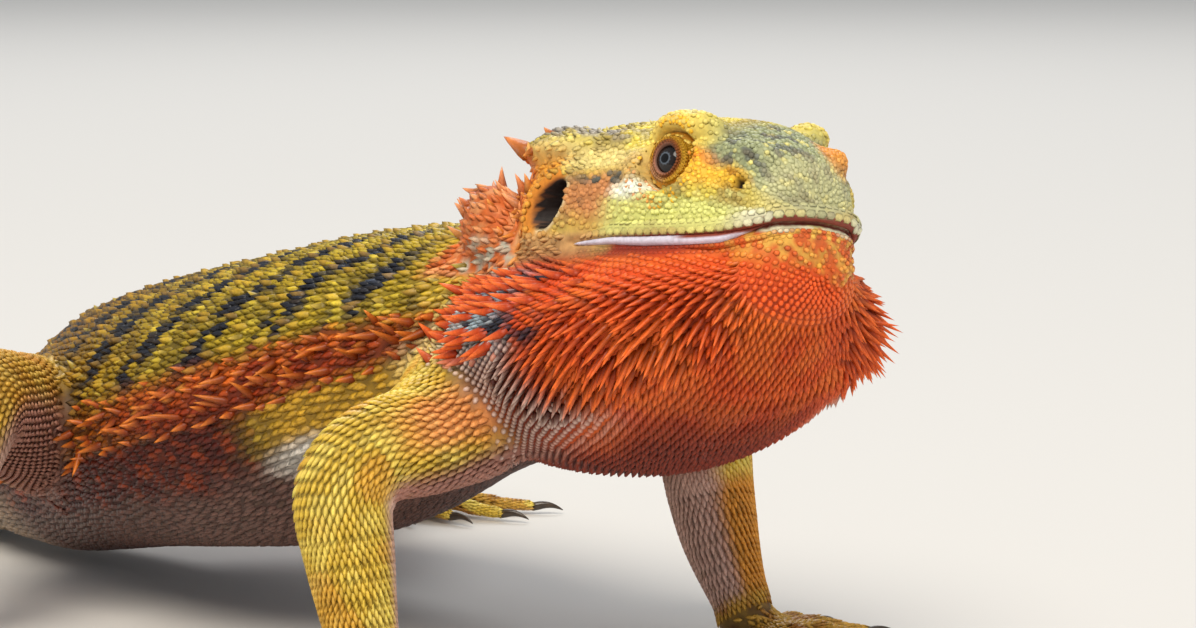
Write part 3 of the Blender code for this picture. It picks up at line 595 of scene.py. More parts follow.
def markings(points):
  # each loft's own colours, blended where two lofts meet by exp(-(extra distance) / 1.1)
    total, weight = np.zeros((len(points), 3)), np.zeros(len(points))
    charts = {name: chart(table, points) for name, table in lofts.items()}
    nearest = np.min([c[2] for c in charts.values()], axis=0)
    for name, (u, angle, outside) in charts.items():
        w = np.exp(-np.clip(outside - nearest, 0, 40) / 1.1)
        if name in limbNames:
            c = limbMarks(points, u, angle, lofts[name])
            c = c + (footMarks(points) - c) * step(6.2, 6.9, u)[:, None]
        else:
            c = loftMarks[name](points, u, angle)
        total += c * w[:, None]
        weight += w
    c = total / weight[:, None]
    return c + (wingMarks(points) - c) * wingPlace(points)[:, None]


# The face, in the head's frame on its left side, and the same on its right.
face = {"ear": (-18.8, 20.0, -5.5), "earSize": (2.4, 3.8), "earLean": 0.6, "nostril": (14.6, 7.6, -3.6),
        "nostrilSize": 0.8}
# The cleft of the mouth: its height over the length of the head.
mouthLine = np.array([
    (-15, -11.4), (-11, -11.0), (-5, -10.6), (1.5, -10.75), (7, -10.7), (10, -10.6), (13, -10.4), (15, -10.1),
    (18, -9.5), (19.8, -8.8), (21.5, -8.0)])
# Low swellings: middle and size along x and z, how far out from the midline they start, height.
swellings = {"underEye": ((-3.5, -5.6), (3.0, 1.5), 8, 0.8), "jowl": ((9.5, -3.6), (3.2, 1.5), 4, 0.7)}
# Flattened tubes along the mouth: how far round they reach, how far out and up from the cleft, half sizes.
lips = {
    "upper": {"reach": 130, "fade": 14, "outBy": 0.1, "wide": 0.9, "lift": 1.2, "tall": 1.2},
    "inner": {"reach": 131, "fade": 10, "front": 33, "outBy": 0.05, "wide": 0.9, "lift": -0.55, "tall": 0.75},
    "lower": {"reach": 128, "fade": 14, "outBy": 0.0, "wide": 0.45, "lift": -1.45, "tall": 0.5},
}
lidRows, lidColumns = 26, 72
eyeAt, eyeAxis = np.array(skinSettings["eyeAt"]), unit(np.array(skinSettings["eyeAxis"]))
nostrilAt, nostrilAxis = np.array(face["nostril"]), np.array([0.35, 0.93, 0.1])
earOut = unit(np.array([-0.05, 1.0, 0.05]))
earLong = np.array([face["earLean"], 0, 1.0])
earLong = unit(earLong - earOut * (earLong @ earOut))
earAcross = np.cross(earOut, earLong)


def mouthHeight(x):
    return np.interp(x, mouthLine[:, 0], mouthLine[:, 1])


def earPlace(h):
    # 0 in the middle of the ear's opening and 1 on its rim, 1 in front of it to -1 behind it, and how far out
    d = h - np.array(face["ear"])
    a, b = d @ earAcross / face["earSize"][0], d @ earLong / face["earSize"][1]
    q = np.hypot(a, b)
    return q, a / np.maximum(q, 1e-6), np.abs(d @ earOut)


def mound(h, at, size, beyond):
    # exp(-(x / size)^2 - (z / size)^2) about the middle, cut off nearer the midline than beyond
    x, z = (h[:, 0] - at[0]) / size[0], (h[:, 2] - at[1]) / size[1]
    return np.exp(-(x ** 2 + z ** 2)) * (h[:, 1] > beyond)


def finer(mesh, chosen):
    # cuts every edge whose two ends are chosen in half
    bm = bmesh.new()
    bm.from_mesh(mesh)
    bm.verts.ensure_lookup_table()
    edges = [e for e in bm.edges if chosen[e.verts[0].index] and chosen[e.verts[1].index]]
    bmesh.ops.subdivide_edges(bm, edges=edges, cuts=1, use_grid_fill=True)
    bmesh.ops.triangulate(bm, faces=[f for f in bm.faces if len(f.verts) > 4])
    bm.to_mesh(mesh)
    bm.free()


def sculptHead(points, normals):
    # folds, temple ridge, swellings, lids, ears, nostrils and mouth, all as moves along known directions
    h = toHead(points)
    side = np.where(h[:, 1] < 0, -1.0, 1.0)
    h[:, 1] *= side
    out = (normals @ headTurn) * np.stack([np.ones_like(side), side, np.ones_like(side)], axis=1)
    # folds that run back under the eye: 0.28 sin(3.6 (z + x / 4)) inside a mound
    folds = mound(h, (4, -5.0), (6, 2.2), 5)
    h += out * (0.28 * folds * np.sin((h[:, 2] + 0.25 * h[:, 0]) * 3.6))[:, None]
    # the ridge over the temple: a gaussian across a line that rises forwards
    ridge = np.exp(-((h[:, 2] - 3.4 - 0.06 * (h[:, 0] + 20)) / 1.3) ** 2)
    ridge = ridge * step(-34, -28, h[:, 0]) * step(-7, -12, h[:, 0])
    h += out * (1.3 * ridge * (h[:, 1] > 8))[:, None]
    for at, size, beyond, height in swellings.values():
        h += out * (height * mound(h, at, size, beyond))[:, None]
    # a swelling round the lids, lower above them, and a bed for the eye: reach along its axis, r out from it
    d = h - eyeAt
    reach = d @ eyeAxis
    lateral = d - reach[:, None] * eyeAxis
    r = np.linalg.norm(lateral, axis=1)
    near = (reach > 0) * step(11, 8, np.linalg.norm(d, axis=1))
    swell = 1.1 * np.exp(-((r - 6.0) / 1.9) ** 2) * (1 - 0.9 * step(0.5, 3.5, lateral[:, 2]))
    reach = reach + near * swell
    inside = near * step(4.9, 4.3, r)
    reach = reach + inside * (np.minimum(reach, 1.2) - reach)
    h = np.where((near > 0)[:, None], eyeAt + lateral + reach[:, None] * eyeAxis, h)
    # the ear: a deep oval, a thin rim in front and a thick fold behind
    q, ahead, far = earPlace(h)
    hole = 4.2 * step(1.02, 0.8, q)
    rim = 0.4 * np.exp(-((q - 1.18) / 0.16) ** 2) * (1 + ahead) / 2
    fold = 1.5 * np.exp(-((q - 1.55) / 0.45) ** 2) * (1 - ahead) / 2
    h += earOut * ((far < 7) * (rim + fold - hole))[:, None]
    # the nostril: a small hole in a raised ring
    d = h - nostrilAt
    r = np.linalg.norm(d - (d @ nostrilAxis)[:, None] * nostrilAxis, axis=1)
    close = (np.linalg.norm(d, axis=1) < 6) & (h[:, 1] > 2)
    ring, hole = 0.45 * np.exp(-((r - 1.6) / 0.6) ** 2), 1.5 * step(face["nostrilSize"] + 0.25, 0.3, r)
    h += out * (close * (ring - hole))[:, None]
    # the cleft of the mouth
    gap = np.exp(-((h[:, 2] - mouthHeight(h[:, 0])) / 0.5) ** 2) * step(-15.5, -13, h[:, 0])
    h -= out * (0.9 * gap)[:, None]
    h[:, 1] *= side
    return fromHead(h)


def eyeFrame(side):
    # the eye's middle and its own axes: out of the head, forwards and up
    axis = eyeAxis * np.array([1, side, 1])
    forward = unit(np.array([1.0, 0, 0]) - axis * axis[0])
    up = np.cross(axis, forward) @ headTurn.T * -side
    return fromHead(eyeAt * np.array([1, side, 1])), axis @ headTurn.T, forward @ headTurn.T, up


def lidRays(axis, forward, up, s, a):
    # directions from the eye's middle: a round its axis, opening(a) + s^1.25 (96 - opening) degrees off it
    wide, tall = skinSettings["lidWide"], skinSettings["lidTall"]
    opening = 1 / np.sqrt((np.cos(a) / wide) ** 2 + (np.sin(a) / tall) ** 2)
    opening = opening * (1 + 0.10 * np.abs(np.cos(a)) ** 6)
    angle = np.radians(opening + (96 - opening) * s ** 1.25)
    lie = np.cos(a)[..., None] * forward + np.sin(a)[..., None] * up
    return np.cos(angle)[..., None] * axis + np.sin(angle)[..., None] * lie, lie


def lidGrid(side):
    # along the lids' rays, s from 0 at the opening to 1: r = lidRadius - rim's edge + ripple, thicker above
    at, *axes = eyeFrame(side)
    s, a = np.meshgrid(np.linspace(0, 1, lidRows), roundAngles(lidColumns), indexing="ij")
    r = skinSettings["lidRadius"] - 0.85 * np.exp(-s / 0.035) + 0.12 * np.sin(s * 26) * step(0.02, 0.1, s)
    r = r + 0.3 * np.clip(np.sin(a), 0, 1) * np.exp(-((s - 0.16) / 0.12) ** 2)
    grid = at + r[..., None] * lidRays(*axes, s, a)[0]
    base = np.repeat(grid[-1:].mean(1, keepdims=True), lidColumns, axis=1)
    faces = gridFaces(lidRows + 1, lidColumns)
    return np.concatenate([grid, base]).reshape(-1, 3), faces if side < 0 else faces[:, ::-1]


def onSkin(starts, directions, reach):
    # where rays from outside first meet the skin, and the skin's direction there
    reach = np.broadcast_to(reach, len(starts)).tolist()
    rays = zip(starts.tolist(), directions.tolist(), reach)
    hits = [skinTree.ray_cast(Vector(p), Vector(d), r) for p, d, r in rays]
    found = np.array([h[0] is not None for h in hits])
    at = np.array([h[0] if h[0] is not None else (0, 0, 0) for h in hits])
    normal = np.array([h[1] if h[1] is not None else (0, 0, 1) for h in hits])
    return at, normal, found


def mouthPath(count, sweepAngle):
    # points of the lips' line, from the right corner round the snout to the left one
    a = np.radians(np.linspace(-sweepAngle, sweepAngle, count))
    ray = np.stack([np.cos(a), np.sin(a), np.zeros(count)], axis=1)
    z = np.full(count, -10.0)
    for k in range(3):
        local = np.stack([3 + 45 * np.cos(a), 45 * np.sin(a), z], axis=1)
        at, normal, found = onSkin(fromHead(local), -ray @ headTurn.T, 60)
        z = mouthHeight(toHead(at)[:, 0])
    return at, ray @ headTurn.T, np.degrees(a)


def lipTube(s, rows=150, columns=14):
    # a flattened tube along the lips' line: centre + out * (outBy + wide cos) + up * (lift + tall sin),
    # thinned towards its two ends
    at, out, a = mouthPath(rows, s["reach"])
    along = unit(np.gradient(at, axis=0))
    out = unit(out - (out * along).sum(1, keepdims=True) * along)
    up = np.cross(out, along)
    up *= np.sign(up[:, 2:3])
    size = np.clip(1 - (np.abs(a) / s["reach"]) ** s["fade"], 0, 1) ** 0.6
    if "front" in s:
        size = size * step(s["front"] - 16, s["front"] + 16, np.abs(a))
    size = np.maximum(size, 0.02)[:, None, None]
    b = roundAngles(columns)
    ring = (s["outBy"] + s["wide"] * np.cos(b))[None, :, None] * out[:, None] \
        + (s["lift"] + s["tall"] * np.sin(b))[None, :, None] * up[:, None]
    points, faces = closedTube(at[:, None] + ring * size - out[:, None] * (1 - size) * 0.5)
    return points, faces[:, ::-1]


# The skin: the clay form drawn in by the coat's depth, finer about the face and sculpted there, with the
# shells of the lids and lips beside it.
skin = makeSkinForm(skinSettings)
points, normals = meshArrays(skin.data)
setPoints(skin.data, points - normals * skinSettings["coat"])
h = toHalfHead(points)
q, ahead, far = earPlace(h)
nearFace = (np.linalg.norm(h - eyeAt, axis=1) < 9) | (np.linalg.norm(h - nostrilAt, axis=1) < 4)
nearMouth = (np.abs(h[:, 2] - mouthHeight(h[:, 0])) < 2.2) & (h[:, 0] > -17)
finer(skin.data, nearFace | nearMouth | (q < 2.6) & (far < 8))
points, normals = meshArrays(skin.data)
faces = [list(f.vertices) for f in skin.data.polygons]
skinTree = BVHTree.FromPolygons(points.tolist(), faces)
shells = [lidGrid(1), lidGrid(-1)] + [lipTube(s) for s in lips.values()]
points = sculptHead(points, normals)
points[:, 2] = np.maximum(points[:, 2], 0.1)
print("skin form:", len(points), "points, box", points.min(0).round(1), points.max(0).round(1))
start = len(points)
shellPoints, shellFaces = joinGrids(shells)
faces += (shellFaces + start).tolist()
points = np.concatenate([points, shellPoints])
skin.data = makeMesh("skin", points, faces)
skinTree = BVHTree.FromPolygons(points.tolist(), faces)

colours = markings(points)
for name, (p, f) in zip(["lid", "lid", *lips], shells):
    if name == "lid":
        s = np.linspace(0, 1, lidRows + 1).repeat(lidColumns)
        colours[start:start + len(p)] = layers(plain(p, "#3A2420"), (step(0.02, 0.07, s), "#B87C60"),
                                               (step(0.12, 0.3, s), "#DFA23C"))
    if name == "inner":
        colours[start:start + len(p)] = linear("#D9D4E4")
    start += len(p)
h = toHalfHead(points)
q, ahead, far = earPlace(h)
aroundEar = (far < 8) * (h[:, 0] > -30)
# the ear's opening and the nostril painted near black: painted shade inside the holes
holes = np.maximum(step(1.14, 1.04, q) * aroundEar, step(1.3, 0.9, np.linalg.norm(h - nostrilAt, axis=1)))
# the mouth's cleft: a dark line, partly the lips' own colour and partly painted shade in the groove
cleft = step(0.6, 0.3, np.abs(h[:, 2] - mouthHeight(h[:, 0]))) * step(6, 9, h[:, 0])
colours = layers(
    colours,
    (step(1.75, 1.45, q) * step(0.1, -0.5, ahead) * aroundEar, "#D8872C"),  # the fold behind the ear
    (step(1.35, 1.15, q) * step(-0.2, 0.3, ahead) * aroundEar, "#E6CFA0"),  # the thin rim in front of it
    (step(1.3, 1.0, q) * step(0.1, -0.5, ahead) * aroundEar, "#7A3A16"),
    (holes, "#1E120E"), (cleft, "#8A3E2E"))
# painted shade between the scales: the skin there darker than on the scales, but not on the bare parts of the
# face
behind = np.maximum(step(-13, -20, h[:, 0]), step(-15, -19, h[:, 2])) * (far > 6)
colours = colours * (1 - 0.4 * behind)[:, None]
# and painted shade again in the folds: darker where the skin bridges from one loft to the next
folds = np.min([chart(table, points)[2] for table in lofts.values()], axis=0)
colours = colours * (1 - 0.5 * step(-0.2, 1.0, folds) * step(-30, -50, h[:, 0]))[:, None]


def paintMesh(mesh, colours):
    layer = mesh.color_attributes.new("markings", "FLOAT_COLOR", "POINT")
    rgba = np.hstack([colours, np.ones((len(colours), 1))])
    layer.data.foreach_set("color", rgba.astype(np.float32).ravel())


def hideMaterial(name, roughness, bump, grain):
    # scaly hide: the markings, a little lighter and darker from grain to grain, and a dry low sheen. The
    # grain is in mm, several times as coarse as a real lizard's so that it shows
    values = {"Roughness": roughness, "IOR": 1.54, "Specular IOR Level": 0.28}
    material, tree, shader = addMaterial(name, values)
    paint = addNode(tree, "ShaderNodeAttribute", attribute_name="markings")
    place = addNode(tree, "ShaderNodeTexCoord")
    speck = addNode(tree, "ShaderNodeTexNoise", {"Scale": 1 / (grain * mm), "Detail": 3.0},
                    {"Vector": place.outputs["Object"]})
    tone = addNode(tree, "ShaderNodeMapRange",
                   {"From Min": 0.3, "From Max": 0.7, "To Min": 0.82, "To Max": 1.12},
                   {"Value": speck.outputs["Fac"]})
    shaded = addNode(tree, "ShaderNodeVectorMath",
                     links={0: paint.outputs["Color"], 1: tone.outputs["Result"]}, operation="MULTIPLY")
    relief = addNode(tree, "ShaderNodeBump", {"Strength": bump, "Distance": 0.15 * mm},
                     {"Height": speck.outputs["Fac"]})
    tree.links.new(shaded.outputs["Vector"], shader.inputs["Base Color"])
    tree.links.new(relief.outputs["Normal"], shader.inputs["Normal"])
    return material


paintMesh(skin.data, colours)
skin.data.materials.append(hideMaterial("soft hide between the scales, creased", 0.6, 0.5, 0.8))
skin.data.shade_smooth()
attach(skin, "root")
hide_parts(*[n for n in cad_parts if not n.startswith(("claw", "eye"))])
print("skin is sculpted and painted")

# The scales: three shapes, a unit long, with a weight for the tip's colour and a painted shade at each point.


# in each shape the shade is painted light and shade: low at the foot for the shade between scales, above 1 at
# the top as a painted highlight
def keelScale():
    # a pointed keeled scale: triangles of foot, foot and crest at three stations that shrink to the tip
    verts = []
    for x, w, crest in ((-0.62, 0.26, 0.02), (-0.2, 0.5, 0.30), (0.35, 0.40, 0.42)):
        foot = -0.14 + 0.1 * (x > 0)
        verts += [(x, -w, foot), (x, w, foot), (x, 0, crest)]
    verts.append((1.0, 0.0, 0.36))
    faces = [(0, 1, 2)]
    for k in (0, 3):
        faces += [(k, k + 2, k + 5), (k, k + 5, k + 3), (k + 2, k + 1, k + 4), (k + 2, k + 4, k + 5),
                  (k + 1, k, k + 3), (k + 1, k + 3, k + 4)]
    faces += [(6, 8, 9), (8, 7, 9), (7, 6, 9)]
    tip = [0, 0, 0.1, 0.05, 0.05, 0.5, 0.3, 0.3, 0.8, 1.0]
    shade = [0.5, 0.5, 0.8, 0.55, 0.55, 1.05, 0.7, 0.7, 1.12, 1.15]
    return np.array(verts), np.array(faces), np.array(tip), np.array(shade)


def beadScale(sides=6):
    # a low dome: a ring at the foot, a smaller one above it, and a top pushed a little towards the tip
    a, i = roundAngles(sides), np.arange(sides)
    j = (i + 1) % sides
    foot = np.stack([0.56 * np.cos(a) + 0.08 * (np.cos(a) > 0.7), 0.5 * np.sin(a), np.full(sides, -0.15)], 1)
    ring = np.stack([0.36 * np.cos(a) + 0.05, 0.33 * np.sin(a), np.full(sides, 0.2)], axis=1)
    verts = np.concatenate([foot, ring, [(0.08, 0, 0.30)]])
    faces = np.concatenate([np.stack([i, j, j + sides], 1), np.stack([i, j + sides, i + sides], 1),
                            np.stack([i + sides, j + sides, np.full(sides, 2 * sides)], 1),
                            np.stack([np.zeros(sides - 2, int), i[2:], i[1:-1]], 1)])
    tip = np.concatenate([np.zeros(sides), np.full(sides, 0.4), [1.0]])
    return verts, faces, tip, np.concatenate([np.full(sides, 0.6), np.full(sides, 1.0), [1.1]])


def spineScale(sides=5, rings=4):
    # a horn: radius 0.5 (1 - t)^0.8 along x = t, its centre bent upwards by 0.25 t^2, pointed at the end
    t, a = np.linspace(-0.15, 0.78, rings), roundAngles(sides) + math.pi / 2
    r = 0.5 * (1 - np.clip(t, 0, 1)) ** 0.8
    x, y = np.repeat(t, sides), (r[:, None] * np.cos(a)).ravel()
    z = (r[:, None] * np.sin(a) + (0.25 * t * np.abs(t))[:, None]).ravel()
    verts = np.concatenate([np.stack([x, y, z], axis=1), [(1.0, 0, 0.25)]])
    quads = gridFaces(rings, sides)
    last = (rings - 1) * sides + np.arange(sides)
    cap = np.stack([last, np.roll(last, -1), np.full(sides, rings * sides)], 1)[:, ::-1]
    faces = np.concatenate([quads[:, [0, 2, 1]], quads[:, [0, 3, 2]], cap,
                            [[0, i, i + 1] for i in range(1, sides - 1)]])
    along = np.concatenate([np.repeat(t, sides), [1.0]])
    return verts, faces, np.clip(along, 0, 1) ** 1.5, 0.7 + 0.42 * np.clip(along * 1.5, 0, 1)


keel, bead, spine = keelScale(), beadScale(), spineScale()
scaleHide = hideMaterial("dry keratin scales, keeled and slightly shiny", 0.42, 0.25, 0.35)
placed = []


def gathered(rows):
    return [np.concatenate(column) for column in zip(*rows)]


def rowsOn(table, spacing, low=0.0, high=None, samples=160, sides=72):
    # staggered rings of scale roots, as far apart along the surface as round it. spacing is a function of u
    high = table["u"][-1] if high is None else high
    u = np.linspace(low, high, samples)
    angle = np.linspace(0, 2 * math.pi, sides + 1)
    rings = loftPoint(table, np.repeat(u, sides + 1), np.tile(angle, samples)).reshape(samples, sides + 1, 3)
    stride = np.linalg.norm(np.diff(rings, axis=0), axis=2).mean(1)
    edges = np.linalg.norm(np.diff(rings, axis=1), axis=2)
    girth = np.concatenate([np.zeros((samples, 1)), np.cumsum(edges, axis=1)], axis=1)
    count = np.concatenate([[0], np.cumsum(stride / spacing((u[1:] + u[:-1]) / 2) / 0.87)])
    found = []
    for k, at in enumerate(np.interp(np.arange(0.5, count[-1]), count, u)):
        i = int(np.clip(np.searchsorted(u, at), 0, samples - 1))
        n = max(3, round(girth[i, -1] / float(spacing(np.array([at]))[0])))
        places = (np.arange(n) + 0.5 * (k % 2)) / n * girth[i, -1]
        found.append((np.full(n, at), np.interp(places, girth[i], angle)))
    return gathered(found)


def apart(at, gap):
    # false for roots closer than the gap to one that an earlier coat has set
    if not placed:
        return np.ones(len(at), bool)
    before = np.concatenate(placed)
    tree = KDTree(len(before))
    for k, p in enumerate(before.tolist()):
        tree.insert(p, k)
    tree.balance()
    return np.array([tree.find(p)[2] for p in at.tolist()]) > gap


def settled(table, u, angle, others, reach=5.0, jitter=0.0, gap=0.9):
    # roots on the skin: drops those buried in another loft, and gives u, angle, place, outward direction, and
    # the two directions of the loft's surface, along it and round it
    top = table["u"][-1]
    u = np.clip(u + jitter * rng.normal(size=len(u)) * 0.03, 0, top)
    du, da = 0.02, 0.01
    p = loftPoint(table, u, angle)
    along = loftPoint(table, np.minimum(u + du, top), angle) - loftPoint(table, np.maximum(u - du, 0), angle)
    around = loftPoint(table, u, angle + da) - loftPoint(table, u, angle - da)
    out = unit(np.cross(along, around))
    middle = between(table, table["centre"], np.clip(u, min(1.6, top / 2), max(top - 1.6, top / 2)))
    out *= np.sign(((p - middle) * out).sum(1, keepdims=True))
    p = p + jitter * unit(around) * rng.uniform(-0.25, 0.25, (len(p), 1))
    clear = np.full(len(p), 9.0)       # how far outside the other lofts each root is
    for other in others:
        clear = np.minimum(clear, chart(lofts[other], p)[2])
    keep = (clear > -2.2) & (p[:, 2] > 0.2)
    u, angle, p, along, around, out, clear = [v[keep] for v in (u, angle, p, along, around, out, clear)]
    reach = np.where(clear < 3, np.minimum(reach, 2.6), reach)[:, None]
    at, normal, found = onSkin(p + out * reach, -out, reach[:, 0] + 3.5)
    flip = np.sign((normal * out).sum(1, keepdims=True))
    if gap:
        found &= apart(at, np.where(wingPlace(at) > 0.5, 1.4, gap))
    return [v[found] for v in (u, np.degrees(angle), at, normal * flip, unit(along), unit(around))]


def scalePiece(name, shape, at, normal, lie, size, colour, tips, uv, lift, pick=slice(None),
               slot="scaly_skin"):
    # joins a copy of the shape at each picked root: at + lie * length x + side * width y + normal * height z.
    # The lie is tipped up from the skin by lift, in radians. size holds length, width and height for each
    verts, faces, tipWeight, shade = shape
    size = np.stack([np.broadcast_to(v, len(at)) for v in size], axis=1)[pick]
    lift = np.broadcast_to(lift, len(at))[pick, None]
    at, normal, lie, colour, tips, uv = [v[pick] for v in (at, normal, lie, colour, tips, uv)]
    lie = unit(lie - normal * (lie * normal).sum(1, keepdims=True))
    side = np.cross(normal, lie)
    ahead, upright = lie * np.cos(lift) + normal * np.sin(lift), normal * np.cos(lift) - lie * np.sin(lift)
    p = (at[:, None] + ahead[:, None] * (size[:, :1] * verts[:, 0])[..., None]
         + side[:, None] * (size[:, 1:2] * verts[:, 1])[..., None]
         + upright[:, None] * (size[:, 2:] * verts[:, 2])[..., None])
    p[..., 2] = np.maximum(p[..., 2], 0.05)
    n = len(verts)
    allFaces = (faces[None] + (np.arange(len(at)) * n)[:, None, None]).reshape(-1, 3)
    mesh = bpy.data.meshes.new(name)
    mesh.vertices.add(n * len(at))
    mesh.vertices.foreach_set("co", ((p.reshape(-1, 3) + shift) * mm).astype(np.float32).ravel())
    mesh.loops.add(allFaces.size)
    mesh.loops.foreach_set("vertex_index", allFaces.astype(np.int32).ravel())
    mesh.polygons.add(len(allFaces))
    mesh.polygons.foreach_set("loop_start", np.arange(0, allFaces.size, 3, dtype=np.int32))
    if "spine" not in name:
        placed.append(at)
    # each point's colour runs from the root's to the tip's, times the shape's painted shade: dark at the
    # foot, a painted highlight at the top
    c = (colour[:, None] + (tips - colour)[:, None] * tipWeight[None, :, None]) * shade[None, :, None]
    paintMesh(mesh, np.clip(c.reshape(-1, 3), 0, 1))
    patchUv = uv[:, None] + verts[None, :, :2] * 0.0019      # each scale a small patch at its root's place
    layer = mesh.uv_layers.new(name="OFBake")
    layer.data.foreach_set("uv", patchUv.reshape(-1, 2)[allFaces.ravel()].astype(np.float32).ravel())
    mesh.update()
    mesh.validate()
    mesh.materials.append(scaleHide)
    obj = addObject(name, mesh)
    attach(obj, "root")
    print(name, len(at), "scales,", len(allFaces), "triangles")


def sheet(u, angle, table, corner=(0, 0), span=(1, 1)):
    # the loft's skin laid flat: along it on one axis, round it on the other
    x, y = u / table["u"][-1], (angle % 360) / 360
    return np.stack([c + (0.01 + 0.98 * v) * width for c, v, width in zip(corner, (x, y), span)], axis=1)


def varied(colours, amount):
    # each scale a little lighter or darker than its neighbours
    return np.clip(colours * rng.normal(1, amount, (len(colours), 1)), 0, 1)


def lighter(colours, amount):
    # a lighter copy of the colours for the scales' tips: a painted highlight
    return np.clip(colours * amount, 0, 1)


def offMouth(at, above, below):
    # true for roots that stay clear of the lips
    h = toHead(at)
    gap = h[:, 2] - mouthHeight(h[:, 0])
    return (gap > above) | (gap < -below) | (h[:, 0] < -15.5)


# In each coat, spacing reads the distance between scales from u along the loft.
# Horns: the share of roots that carry one, and how much longer than a scale it is.
beardScales = {"spacing": ((-1, 0, 1, 2, 3, 4, 7), (0.9, 1.1, 1.3, 1.5, 1.4, 1.2, 1.15)),
               "sideHorns": (0.72, 3.0), "frontHorns": (0.6, 2.4), "rearHorns": (0.16, 2.6)}


def beardCoat(s):
    t = lofts["beard"]
    spacing = lambda u: np.interp(u - 1, *s["spacing"])      # from the chin's first ring, as v is
    found = settled(t, *rowsOn(t, spacing), ("skull", "trunk", "armRight", "armLeft"))
    keep = offMouth(found[2], 9, 2.7)
    u, angle, at, normal, along, around = [v[keep] for v in found]
    v, top = u - 1, fromTop(angle)
    inward = np.where((angle + 90) % 360 < 180, -1.0, 1.0)[:, None]      # round towards the underside
    chosen = rng.random(len(u))
    spines = patch(v, top, (2.3, 104), (1.45, 26), 1.2) * (chosen < s["sideHorns"][0])
    front = patch(v, top, (1.2, 112), (0.9, 26), 1.2) * (chosen < s["frontHorns"][0]) * step(0.25, 0.7, v)
    apartZone = step(2.3, 2.9, v) * step(98, 88, top)      # horns stand well apart here, on small grains
    spines = spines * (1 - apartZone)
    big = np.maximum(patch(v, top, (3.9, 64), (1.6, 20), 1.0), apartZone)
    big = big * (chosen > 1 - s["rearHorns"][0]) * step(44, 50, top)
    horned = np.maximum(spines, front)
    slant = patch(v, top, (2.2, 108), (2.2, 40), 1.4)
    lie = along + around * inward * (0.1 + 0.6 * slant)[:, None] + 0.06 * rng.normal(size=at.shape)
    rear = step(2.9, 3.6, v + (top - 95) / 70) * step(80, 92, top) * step(150, 130, top)
    colour = varied(markings(at), 0.1)
    # tips: the markings made 1.35 times as bright as a painted highlight, blended to the horns' own orange,
    # darker beneath and pale at the rear
    tips = layers(colour * 1.35, ((0.35 + 0.5 * horned) * (1 - apartZone), "#F8742C"),
                  (step(138, 155, top) * step(1.5, 2.5, v) * 0.8, "#8E2A10"),
                  (rear, "#D8C0B4"), (big, "#FA8038"))
    # the roots darkened to 0.6 as painted shade between the scales; the big horns keep their own deep orange
    colour = painted(colour * 0.6, big, "#C8400E")
    length = (spacing(u) * rng.uniform(0.95, 1.15, len(u))
              + s["sideHorns"][1] * spines * rng.uniform(0.5, 1.1, len(u))
              + s["frontHorns"][1] * front * rng.uniform(0.3, 1.2, len(u)) + s["rearHorns"][1] * big)
    size = length, spacing(u) * (0.92 - 0.15 * horned) + 0.6 * big, 1.0 + 0.25 * spines + 0.6 * big
    lift = 0.24 + 0.22 * spines + 0.4 * front + 0.3 * big + 0.12 * rng.normal(size=len(u)) * (0.3 + spines)
    slender = (spines > 0.3) | (front > 0.4) | (big > 0.5)
    grains = ~slender & ((rear > 0.5) | (v < 0.4) | (top < 62) & (v < 3))
    # beads are divided by 0.75, so they take less of the roots' painted shade
    for name, shape, pick, tilt, paler in (("beard_scales", keel, ~slender & ~grains, 1.0, 1),
                                           ("beard_beads", bead, grains, 0.15, 0.75),
                                           ("beard_spines", spine, slender, 1.0, 1)):
        scalePiece(name, shape, at, normal, lie, size, colour / paler, tips, sheet(u, angle, t), lift * tilt,
                   pick, "beard_skin")
    placed.append(at[slender])


# The middle and axis of the left wing in the head's frame, and the angles from ring to ring and along a ring.
wingScales = {"middle": (-34.0, 13.0, -8.5), "axis": (-0.45, 0.9, 0.15), "rings": 15, "between": 9,
              "along": 9.5, "horns": (0.42, 2.0)}


